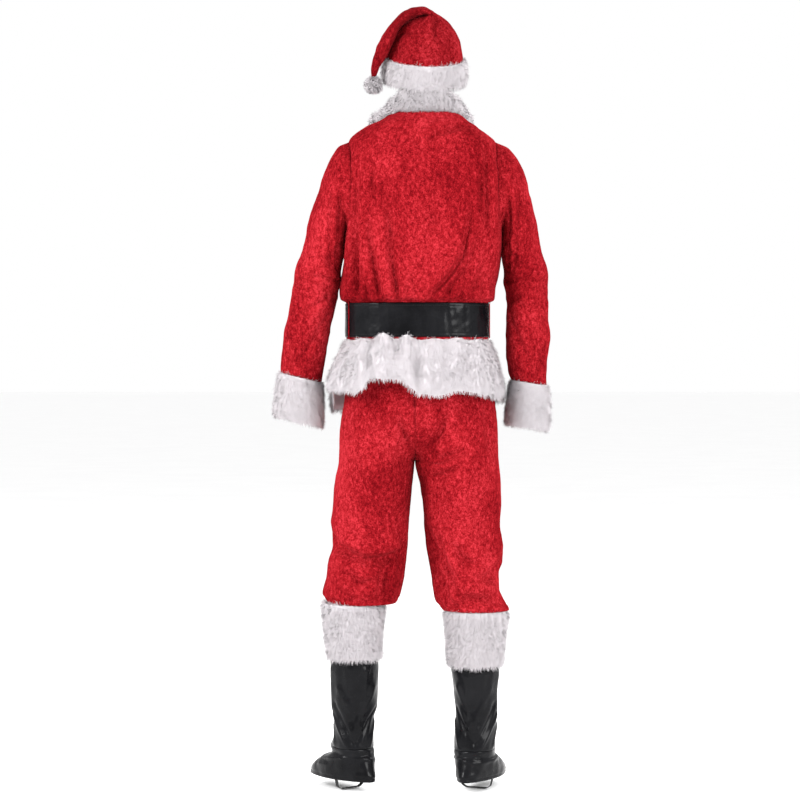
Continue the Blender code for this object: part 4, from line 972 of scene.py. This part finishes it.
def fur_piece(node, outer, inner, closed, size, strands, length, down, seed, flat, rests, held="stretched",
              **more):
    """A fur trim: a soft backing under the pile, and the pile, in place of one CAD node."""
    rows, columns = size
    fine_outer, fine_inner = (refine(np.array(side), closed, rows, columns) for side in (outer, inner))
    under = fine_outer + (fine_inner - fine_outer) * BACKING_SUNK
    lump = 0.9 * ripple(under, 22.0, seed) + 0.6 * ripple(under, 11.0, seed + 9)
    ends = np.sin(np.linspace(0.0, math.pi, rows))[:, None]
    under = under + normals(under, closed) * (lump * ends)[..., None]
    backing = shell(node + "_backing", under, fine_inner, "white_fur", node, closed)
    rims = [fine_inner[row:row + 1] * 0.8 + under[row:row + 1] * 0.2 for row in (0, rows - 1)]
    rooted = np.concatenate((rims[0], under, rims[1]))
    strands_piece = pile(node + "_pile", rooted, closed, strands, length, down, seed, **more)


def finer(ring, count):
    """A closed ring resampled to count points by a smooth periodic curve."""
    steps = len(ring)
    spectrum = np.fft.rfft(ring, axis=0)
    turns = turns_of(count)
    out = np.zeros((count, 3))
    for k in range(min(len(spectrum), 10)):
        weight = (1.0 if k in (0, steps / 2) else 2.0) / steps
        out += weight * np.real(spectrum[k] * np.exp(2j * math.pi * k * turns)[:, None])
    return out


def cuff(side, ring, seed):
    """A thick fur ring butted onto the sleeve's end."""
    axis = np.array(CUFF_AXES[side])
    axis = axis / np.linalg.norm(axis)
    outer_ring = finer(ring, 36)
    centre = outer_ring.mean(axis=0)
    radial = unit(outer_ring - centre)
    inner_ring = outer_ring - CLOTH * radial
    pressed = 1.0 - CUFF_PRESSED * np.clip(-radial[:, :1] * np.sign(centre[0]), 0.0, 1.0) ** 2
    outer, inner = [], []
    for along, out in zip(*CUFF_PROFILE.values()):
        shift = axis * (SEAM + along * CUFF_LENGTH)
        outer.append(outer_ring + shift + radial * (out + CUFF_FLARE * along) * pressed)
        inner.append(inner_ring + shift + radial * CUFF_FLARE * along * pressed)
    fur_piece("cuff_" + side, outer, inner, True, (31, 108), 16000, 11.0, 0.75, seed, (0.36, 0.10),
              "sleeve_" + side)


def collar():
    """A rolled fur collar on the neckline, open at the centre front."""
    turns = 0.5 + COLLAR_GAP + (1 - 2 * COLLAR_GAP) * np.linspace(0.0, 1.0, 61)
    fold = 0.5 - np.abs((turns % 1.0) - 0.5)
    level = neck_height(turns)
    base = torso_surface(turns, level)
    out = torso_surface(turns, level, 10.0) - base
    out[:, 2] = 0.0
    out = unit(out)
    up = np.array((0.0, 0.0, 1.0))
    height, lean, thick = (read(COLLAR, column, fold, "turn")[:, None] for column in ("height", "lean", "thick"))

    def place(across, rise):
        return base + out * (lean * rise + thick * across) + up * (height * rise + SEAM + 0.3)

    outer = [place(0.35, 0.0), place(0.85, 0.06), place(1.0, 0.35), place(0.9, 0.75), place(0.5, 0.97)]
    inner = [place(-0.1, 0.0), place(-0.15, 0.1), place(-0.1, 0.4), place(0.0, 0.8), place(0.2, 0.97)]
    fur_piece("collar", outer, inner, False, (22, 150), 17000, 10.0, 0.35, 31, (0.60, 0.055), "jacket_back",
              held="draped", fluff=0.24)


def fur_hem():
    """The gathered fur edge below the belt, waving more the lower it hangs."""
    turns = turns_of(144)
    bottom = read(HEM_BOTTOM, "height", turns, "turn")
    angle = 2 * math.pi * turns
    top = JACKET_BOTTOM - SEAM
    wave = np.sin(HEM_WAVES * angle + 0.6) + 0.35 * np.sin((2 * HEM_WAVES + 1) * angle + 1.9)
    edge = torso_surface(turns, JACKET_BOTTOM, -CLOTH)
    flare_x = np.where(np.sin(angle) > 0, HEM_FLARE_RIGHT, HEM_FLARE_LEFT)
    radial = stack(np.sin(angle) * flare_x, -np.cos(angle) * HEM_FLARE_Y, 0.0 * angle)
    outward = unit(radial)
    outer, inner = [], []
    for drop, out in zip(*HEM_PROFILE.values()):
        line = edge + (radial * math.sin(drop * math.pi / 2) + outward * (HEM_WAVE * drop * (wave - 0.2))[:, None])
        top_part = max(0.0, 1.0 - drop / 0.35) * (line[:, 1] < 0)
        rise = top_part * sum(tall * bell(line[:, 0] - x, wide) for x, wide, tall in zip(*HEM_RUFFLES.values()))
        line = line + outward * (0.55 * rise)[:, None]
        for x_top, x_low, wide, deep, reach in zip(*HEM_VALLEYS.values()):
            near = bell(line[:, 0] - x_top - (x_low - x_top) * drop, wide) * (line[:, 1] < 0)
            depth = deep * math.sin(math.pi * min(1.0, (drop + 0.08) / reach)) ** 0.6 * min(1.0, drop / 0.25)
            line = line - outward * (depth * near)[:, None]
        line[:, 2] = top + (bottom - top) * drop + rise
        inner.append(line)
        outer.append(line + outward * out)
    fur_piece("fur_hem", outer, inner, True, (34, 288), 42000, 13.0, 0.85, 41, (1.35, 0.13), "jacket_back",
              held="gathered", width=1.1)


def belt():
    """Strap lapped at the front, its edges rolled and its face softly crumpled."""
    turns = np.linspace(0.5 - BELT_OVERLAP / 2, 1.5 + BELT_OVERLAP / 2, 400)
    lapped = np.clip((turns - turns[0] - 1.0 + BELT_STEP) / BELT_STEP, 0.0, 1.0)
    gap = SEAM + (LEATHER + SEAM) * lapped * lapped * (3 - 2 * lapped)
    levels = np.linspace(BELT_LOW, BELT_HIGH, 25)
    across = (levels - BELT_LOW) / (BELT_HIGH - BELT_LOW)
    outer, inner = [], []
    for level, share in zip(levels, across):
        edge = min(share, 1 - share) * (BELT_HIGH - BELT_LOW)
        rolled = -1.0 * math.exp(-((edge / 1.6) ** 2)) + 0.5 * math.exp(-(((edge - 3.6) / 2.0) ** 2))
        rolled -= 0.45 * math.exp(-(((edge - 6.6) / 0.9) ** 2))
        inner.append(torso_surface(turns, level, gap))
        place = torso_surface(turns, level, gap + LEATHER + rolled)
        calm = min(1.0, edge / 12.0)
        crumple = ripple(place, 46.0, 51, (1, 1, 0.35)) * 0.8 + ripple(place, 17.0, 52, (1, 1, 0.5)) * 0.35
        away = unit(place - torso_surface(turns, level))
        outer.append(place + away * (crumple * calm)[:, None])
    piece = shell("belt_strap_skin", np.array(outer), np.array(inner), "black_vinyl", "belt_strap")
    buckle()
    stitches(np.array(outer)[[2, -3]], 5.0, 0.35, 0.62)


def stitches(lines, pitch, radius, gap):
    """Short thread stitches along each line of points, joined into one mesh."""
    points, quads = [], []
    for line in lines:
        steps = np.linalg.norm(np.diff(line, axis=0), axis=1)
        at = np.concatenate(([0.0], np.cumsum(steps)))
        for begin in np.arange(0.0, at[-1] - pitch, pitch):
            tail, head = (np.array([np.interp(place, at, line[:, k]) for k in range(3)])
                          for place in (begin, begin + pitch * gap))
            run = unit(head - tail)
            side = unit(np.cross(run, (0.0, 0.0, 1.0)) + 1e-6)
            lift = unit(np.cross(side, run))
            first = len(points)
            for place, size in ((tail, 0.4), (tail + run * pitch * gap * 0.3, 1.0),
                                (head - run * pitch * gap * 0.3, 1.0), (head, 0.4)):
                for a, b in ((1, 0), (0, 1), (-1, 0), (0, -1)):
                    points.append(place + (side * a + lift * b) * radius * size)
            quads += ring_faces(4, 4, first=first)
            quads.append((first + 3, first + 2, first + 1, first))
            quads.append((first + 12, first + 13, first + 14, first + 15))
    mesh_from_arrays("belt_stitches", np.array(points), np.array(quads), np.zeros((0, 3), int), "black_elastic")


def buckle():
    """A rounded rectangular frame over the lapped strap, and its prong."""
    front = float(torso_surface(0.5, BELT_LOW)[1]) + 2 * (LEATHER + SEAM) + SEAM
    centre_x = float(read(TORSO, "centre_x", BELT_LOW))
    centre_h = (BELT_LOW + BELT_HIGH) / 2
    path, corner = [], 11.0
    for sx, sz, first in ((1, 1, 0.0), (-1, 1, 0.5), (-1, -1, 1.0), (1, -1, 1.5)):
        for k in range(9):
            angle = math.pi * (first + 0.5 * k / 8)
            path.append((sx * (BUCKLE_WIDTH / 2 - corner), sz * (BUCKLE_HEIGHT / 2 - corner),
                         math.cos(angle), math.sin(angle)))
    section = []
    for k in range(16):
        angle = 2 * math.pi * k / 16
        section.append((BUCKLE_BAR / 2 * float(power(np.cos(angle), 4.0)),
                        BUCKLE_THICK / 2 * float(power(np.sin(angle), 2.6))))
    points = []
    for x, z, c, s in path:
        for across, deep in section:
            reach = corner - BUCKLE_BAR / 2 + across
            points.append((centre_x + x + c * reach, front + BUCKLE_THICK / 2 + deep, centre_h + z + s * reach))
    faces = ring_faces(len(path), len(section), closed=True, flip=True)
    frame_piece = build("belt_buckle_frame", points, faces, "buckle_metal", "belt_buckle")
    low, reach = front + BUCKLE_THICK + SEAM, BUCKLE_WIDTH / 2 - 1
    points, rings = [], 25
    for i in range(rings):
        place = -1 + 2 * i / (rings - 1)
        slim = 1.0 if abs(place) < 0.97 else 0.6
        for k in range(12):
            angle = 2 * math.pi * k / 12
            points.append((centre_x + place * reach, low + 1.5 + 1.5 * slim * math.sin(angle),
                           centre_h + 2.5 * slim * math.cos(angle)))
    faces = ring_faces(rings, 12) + [tuple(range(12)), tuple(reversed(range((rings - 1) * 12, rings * 12)))]
    build("buckle_prong_bar", points, faces, "buckle_metal", "buckle_prong")
    return frame_piece


LOOP_WIDTH, LOOP_THICK, LOOP_GIRTH = 6.5, 1.4, 950.0
LOOPS = (("belt_loop_left", 0.812), ("belt_loop_right", 0.222))


def belt_loop(name, turn):
    """A narrow sewn strip that holds the belt."""
    clear = 2 * SEAM + LEATHER + 0.6
    levels = (JACKET_BOTTOM + 1, JACKET_BOTTOM + 4, BELT_LOW - 1, BELT_HIGH + 1, 1126, 1133, 1140)
    offsets = (SEAM, SEAM, clear, clear, SEAM + 0.3, SEAM + 0.3, SEAM + 0.3)
    half = LOOP_WIDTH / 2 / LOOP_GIRTH
    wanted = np.linspace(levels[0], levels[-1], 40)
    outs = np.interp(wanted, levels, offsets)
    turns = np.linspace(turn - half, turn + half, 7)
    round_it = LOOP_THICK * (0.35 + 0.65 * np.sin(np.linspace(0.15, math.pi - 0.15, 7)))
    inner, outer = (np.array([torso_surface(turns, h, out + more) for h, out in zip(wanted, outs)])
                    for more in (0.0, round_it))
    piece = shell(name + "_cloth", outer, inner, "red_velvet", name)


def band_ring(rise, out, count):
    """A ring of the hat band at a height along it, moved out from its middle line."""
    angle = 2 * math.pi * turns_of(count)
    x = (BAND_HALF_WIDTH - BAND_THICK + out) * np.cos(angle)
    y = -(BAND_HALF_DEPTH - BAND_THICK + out) * np.sin(angle)
    lift = BAND_BACK_HEIGHT + BAND_RISE_FRONT * (y + BAND_HALF_DEPTH) - BAND_RISE_LEFT * x
    return stack(HAT_X + x, y, lift + rise)


HAT_CREASES = (
    (5, 8, -1, (34, 1788), (36, 1770), (44, 1752), (50, 1738)),
    (5, 7, -1, (30, 1784), (30, 1762), (33, 1738), (36, 1715)),
    (5, 7, -1, (40, 1784), (56, 1766), (66, 1752)), (4, 4, -1, (84, 1742), (90, 1716), (94, 1694)),
    (6, 4, -1, (-66, 1700), (-36, 1684), (0, 1676), (40, 1680)), (7, 5, -1, (-60, 1722), (-40, 1736), (-10, 1748)),
)
CROWN_FOLDS = table(
    "along0 across0 along1 across1 width depth",
    (0.08, 0.06, 0.30, 0.14, 0.030, 2.5), (0.06, 0.20, 0.34, 0.30, 0.030, -3.0),
    (0.10, 0.33, 0.40, 0.40, 0.030, 3.0), (0.30, 0.22, 0.46, 0.36, 0.028, 3.0),
    (0.44, 0.02, 0.80, 0.04, 0.030, 3.0), (0.48, 0.12, 0.86, 0.16, 0.026, -3.0),
    (0.52, 0.26, 0.80, 0.30, 0.028, 2.5), (0.10, 0.70, 0.34, 0.62, 0.032, 3.0),
    (0.12, 0.86, 0.36, 0.80, 0.030, -2.5), (0.46, 0.80, 0.80, 0.72, 0.030, 3.0),
)


def hat():
    """Crown with its folded tail, fur band and pompom."""
    count = 126
    angles = 2 * math.pi * turns_of(count)
    rings = [band_ring(BAND_TOP - 14, -SEAM, count), band_ring(BAND_TOP + 3, -SEAM, count)]
    rings += [fan_ring(CROWN, i, angles, 2.0) for i in range(len(CROWN["outer_x"]))]
    grid, share = loft(rings, 112)
    along, across = share[:, None], turns_of(count)[None, :]
    lift = 0.9 * ripple(grid, 46.0, 61) + 0.5 * ripple(grid, 20.0, 62)
    lift += streaks(along, across, CROWN_FOLDS) + crease_lift(grid, HAT_CREASES) * (along < TAIL_START)
    lift *= np.clip((along - 0.05) / 0.06, 0.0, 1.0) * np.clip((1 - along) / 0.06, 0.0, 1.0)
    grid = grid + normals(grid, True) * lift[..., None] - (0.0, 0.0, HAT_DROP)
    piece = cloth("hat_crown", grid, closed=True, thick=1.0, capped=True, level_ends=(False, False))
    piece.data.materials[0] = HAT_VELVET
    outer, inner = [], []
    for rise, out in ((0, 5), (0.06, 10), (0.3, BAND_THICK), (0.7, BAND_THICK), (0.94, 10), (1, 5)):
        for walls, reach in ((outer, out), (inner, 0.0)):
            walls.append(band_ring(BAND_LOW + (BAND_TOP - BAND_LOW) * rise, reach, 54) - (0.0, 0.0, HAT_DROP))
    fur_piece("hat_band", outer, inner, True, (25, 162), 20000, 12.0, 0.9, 71, (0.66, 0.052), "hat_crown")
    pompom()


def pompom():
    """A ball of fur at the tail's tip."""
    rows, columns = 25, 36
    fall = np.linspace(0.02, math.pi - 0.02, rows)[:, None]
    around = 2 * math.pi * turns_of(columns)[None, :]
    wide = POMPOM_RADIUS * np.sin(fall)
    grid = stack(POMPOM_X + wide * np.cos(around), POMPOM_Y + wide * np.sin(around),
                 POMPOM_H + 1.05 * POMPOM_RADIUS * np.cos(fall))
    faces = ring_faces(rows, columns, flip=True)
    faces += [tuple(range(columns)), tuple(reversed(range((rows - 1) * columns, rows * columns)))]
    build("hat_pompom_core", grid.reshape(-1, 3), faces, "white_fur", "hat_pompom")
    pile("hat_pompom_pile", grid, True, 8000, 11.0, 0.15, 81, fluff=0.35)


# Creases of a boot cover's shaft: by height and across it (0 wearer's right, 0.25 back, 0.5 left).
BOOT_FOLDS = table(
    "h0 across0 h1 across1 width depth",
    (200, 0.42, 112, 0.25, 6, -4.0), (176, 0.46, 104, 0.30, 5, 3.5), (236, 0.36, 150, 0.20, 8, 3.0),
    (240, 0.10, 130, 0.28, 8, 3.0), (190, 0.06, 120, 0.22, 5, -3.5), (296, 0.16, 200, 0.20, 10, 2.5),
    (296, 0.34, 220, 0.33, 9, -2.5), (280, 0.44, 190, 0.47, 9, 2.5), (230, 0.56, 150, 0.72, 8, 3.5),
    (230, 0.92, 150, 0.76, 8, 3.0), (180, 0.60, 124, 0.74, 6, -3.5), (176, 0.88, 120, 0.76, 6, -3.5),
    (290, 0.70, 200, 0.74, 10, 2.5), (160, 0.02, 110, 0.10, 6, 3.0), (150, 0.50, 106, 0.44, 6, 3.0),
)


def shaft_ring(source, height, count, out=0.0):
    """A ring of a boot cover's shaft."""
    angle = 2 * math.pi * turns_of(count)
    x = read(source, "centre_x", height) + (read(source, "half_width", height) + out) * np.cos(angle)
    y = read(source, "centre_y", height) - (read(source, "half_depth", height) + out) * np.sin(angle)
    return stack(x, y, height)


FUR_OVERHANG, INSTEP_TOP, INSTEP_PUSH = 11.0, 134.0, 26.0
SHAFT_GIRTH, SHAFT_SEAM = 2 * math.pi * 55.0, 0.185


def boot_cover(side, source, fur_low, fur_high, turn):
    """Shaft, foot, fur top and sole strap of one boot cover."""
    count, low = 96, float(source["height"][0])
    flip = 1.0 if side == "left" else -1.0
    across = (0.25 + flip * (turns_of(count) - 0.25)) % 1.0
    levels = np.linspace(low, fur_high - 4, 79)
    heading = math.radians(turn)
    ahead = np.array((math.sin(heading), math.cos(heading)))
    beside = np.array((math.cos(heading), -math.sin(heading)))

    def instep(ring, height):
        """Moves a ring's front part forward near the ankle."""
        out = unit(ring[:, :2] - ring[:, :2].mean(axis=0))
        push = INSTEP_PUSH * np.clip((INSTEP_TOP - height) / (INSTEP_TOP - low), 0.0, 1.0) ** 1.5
        return ring + np.concatenate((push * np.clip(out @ ahead, 0.0, 1.0)[:, None] * ahead, 0 * out[:, :1]), axis=1)

    grid = np.array([instep(shaft_ring(source, h, count), h) for h in levels])
    lift = 0.8 * ripple(grid, 60.0, 91, (1, 1, 0.5)) + 0.35 * ripple(grid, 24.0, 92)
    lift += streaks(levels[:, None], across[None, :], BOOT_FOLDS, SHAFT_GIRTH)
    seam = np.abs((across - SHAFT_SEAM + 0.5) % 1.0 - 0.5)[None, :] * SHAFT_GIRTH
    lift += 0.9 * bell(seam - 2.4, 1.6) - bell(seam, 1.1)
    lift *= (np.clip((levels - low) / 8.0, 0.15, 1.0) * np.clip((fur_low - levels) / 12.0, 0.0, 1.0))[:, None]
    grid = grid + normals(grid, True) * lift[..., None]
    piece = cloth("boot_shaft_" + side, grid, True, 1.2, finish="black_vinyl", ending="_skin")
    fur_low += FUR_OVERHANG
    outer, inner = [], []
    for rise, out in zip(*BOOT_FUR_PROFILE.values()):
        for walls, reach in ((outer, out), (inner, SEAM + 0.2)):
            walls.append(shaft_ring(source, fur_low + (fur_high - fur_low) * rise, 54, reach))
    fur_piece("boot_fur_" + side, outer, inner, True, (40, 120), 20000, 14.0, 0.7, 101, (0.44, 0.136),
              "boot_shaft_" + side)
    middle = shaft_ring(source, low, count).mean(axis=0)
    ankle = instep(shaft_ring(source, low, count), low)
    start, top = 2 * math.pi * turns_of(count) - heading, low - SEAM
    rows = []
    for drop in np.linspace(0.0, 1.0, 40):
        half_length, half_width = (read(FOOT, column, drop, "drop") for column in ("half_length", "half_width"))
        length = -half_length * np.sin(start)
        narrow = 1.0 - 0.22 * drop * np.clip(-length / half_length, 0.0, 1.0)
        place = (middle[:2] + np.outer(length + read(FOOT, "forward", drop, "drop"), ahead)
                 + np.outer(half_width * np.cos(start) * narrow, beside))
        share = min(1.0, drop / 0.18)
        share = share * share * (3 - 2 * share)
        place = ankle[:, :2] * (1 - share) + place * share
        rows.append(stack(place[:, 0], place[:, 1], top + (FOOT_LOW - top) * drop))
    grid = np.array(rows)
    drops = np.linspace(0.0, 1.0, 40)[:, None]
    lift = 0.9 * ripple(grid, 40.0, 94) + 0.5 * ripple(grid, 20.0, 95)
    lift += 2.2 * bell(drops - 0.32 - 0.06 * np.sin(2 * start)[None, :], 0.06)
    lift -= 1.6 * bell(drops - 0.20 - 0.05 * np.sin(3 * start + 1)[None, :], 0.05)
    lift *= np.clip(drops / 0.12, 0.0, 1.0) * np.clip((1 - drops) / 0.06, 0.2, 1.0)
    lift = lift - 1.2 * bell(drops - 0.90, 0.018) - 1.2 * bell(drops, 0.03)
    grid = grid + normals(grid, True) * lift[..., None]
    piece = cloth("boot_foot_" + side, grid, True, 1.2, finish="black_vinyl", ending="_skin")
    sole_strap("boot_strap_" + side, middle, ahead, beside)


STRAP_WIDTH, STRAP_THICK, STRAP_LOW, STRAP_FORWARD, STRAP_REACH = 10.0, 1.4, 2.5, 26.0, 39.4


def sole_strap(name, middle, ahead, beside):
    """A flat ribbed elastic from one lower edge of the foot piece, under the sole, to the other."""
    reach = STRAP_REACH
    path = np.array((
        (-reach, FOOT_LOW + 12), (-reach, FOOT_LOW), (-reach + 4, STRAP_LOW + 6), (-reach + 14, STRAP_LOW),
        (reach - 14, STRAP_LOW), (reach - 4, STRAP_LOW + 6), (reach, FOOT_LOW), (reach, FOOT_LOW + 12),
    ))
    steps = np.linalg.norm(np.diff(path, axis=0), axis=1)
    at = np.concatenate(([0.0], np.cumsum(steps)))
    wanted = np.linspace(0.0, at[-1], 97)
    line = np.stack([np.interp(wanted, at, path[:, k]) for k in (0, 1)], axis=-1)
    for _ in range(3):
        line[1:-1] = (line[:-2] + 2 * line[1:-1] + line[2:]) / 4
    run = unit(np.gradient(line, axis=0))
    inward = np.stack((-run[:, 1], run[:, 0]), axis=-1)
    edges = np.linspace(-STRAP_WIDTH / 2, STRAP_WIDTH / 2, 7)
    ribs = 0.12 * np.cos(2 * math.pi * edges / 2.5)
    grids = []
    for deep in (0.0, STRAP_THICK):
        rows = []
        for (across, height), inset in zip(line, inward):
            row = []
            for edge, rib in zip(edges, ribs):
                base = middle[:2] + ahead * (FOOT["forward"][-1] - STRAP_FORWARD + edge)
                spot = base + beside * (across + inset[0] * (deep + rib * (deep == 0)))
                row.append((spot[0], spot[1], height + inset[1] * (deep + rib * (deep == 0))))
            rows.append(row)
        grids.append(np.array(rows))
    piece = shell(name + "_web", grids[0], grids[1], "black_elastic", name)


FLOOR_SIZE, CAMERA_X, CAMERA_Y, CAMERA_HEIGHT, AIM_HEIGHT, LENS = 120.0, -0.048, -5.6, 1000.0, 897.0, 109.6
LIGHTS = table(
    "x y height size watts",
    (-3.6, -2.6, 3000, 1.8, 325), (3.2, -3.4, 2400, 2.4, 275), (-0.5, 3.6, 2800, 2.2, 55), (2.6, 1.5, 2400, 1.8, 70),
    (-2.8, 1.2, 2400, 1.8, 22),
)


def aimed(thing, target):
    """Turns a light or the camera toward a point."""
    thing.rotation_euler = (Vector(target) - thing.location).to_track_quat("-Z", "Y").to_euler()


def studio():
    """Pale floor, soft lights and the camera."""
    ground = -MOUNT_HEIGHT / 1000.0
    half = FLOOR_SIZE / 2
    mesh = bpy.data.meshes.new("floor")
    corners = [(x * half, y * half, ground) for x, y in ((-1, -1), (1, -1), (1, 1), (-1, 1))]
    mesh.from_pydata(corners, [], [(0, 1, 2, 3)])
    pale, tree, shader = surface("pale_floor", Roughness=0.9, Specular_IOR_Level=0.1)
    colour = ramp(tree, texture(tree, 3.0, 2.0, 0.5), (0.3, (0.955, 0.955, 0.957)), (0.7, (0.975, 0.975, 0.975)))
    tree.links.new(colour, shader.inputs["Base Color"])
    mesh.materials.append(pale)
    linked("floor", mesh)
    for i, (x, y, height, size, watts) in enumerate(zip(*LIGHTS.values())):
        data = bpy.data.lights.new(f"softbox_{i}", "AREA")
        data.energy, data.size = float(watts), float(size)
        light = linked(f"softbox_{i}", data)
        light.location = (x, y, (height - MOUNT_HEIGHT) / 1000.0)
        aimed(light, (0.0, 0.0, -0.55))
    world = bpy.data.worlds.new("studio")
    world.use_nodes = True
    back = world.node_tree.nodes["Background"]
    back.inputs["Color"].default_value = (1.0, 1.0, 1.0, 1.0)
    back.inputs["Strength"].default_value = 1.0
    bpy.context.scene.world = world
    bpy.context.scene.view_settings.view_transform = "Standard"
    data = bpy.data.cameras.new("camera")
    data.lens, data.sensor_width = LENS, 36.0
    camera = linked("camera", data)
    camera.location = (CAMERA_X, CAMERA_Y, (CAMERA_HEIGHT - MOUNT_HEIGHT) / 1000.0)
    aimed(camera, (CAMERA_X, 0.0, (AIM_HEIGHT - MOUNT_HEIGHT) / 1000.0))
    bpy.context.scene.camera = camera


def main():
    """The studio and all pieces."""
    studio()
    edges = jacket()
    for side, source, seed in (("left", SLEEVE_LEFT, 11), ("right", SLEEVE_RIGHT, 21)):
        cuff(side, sleeve(side, source, edges), seed)
    collar()
    fur_hem()
    belt()
    for loop in LOOPS:
        belt_loop(*loop)
    trousers()
    hat()
    for boot in BOOTS:
        boot_cover(*boot)


main()
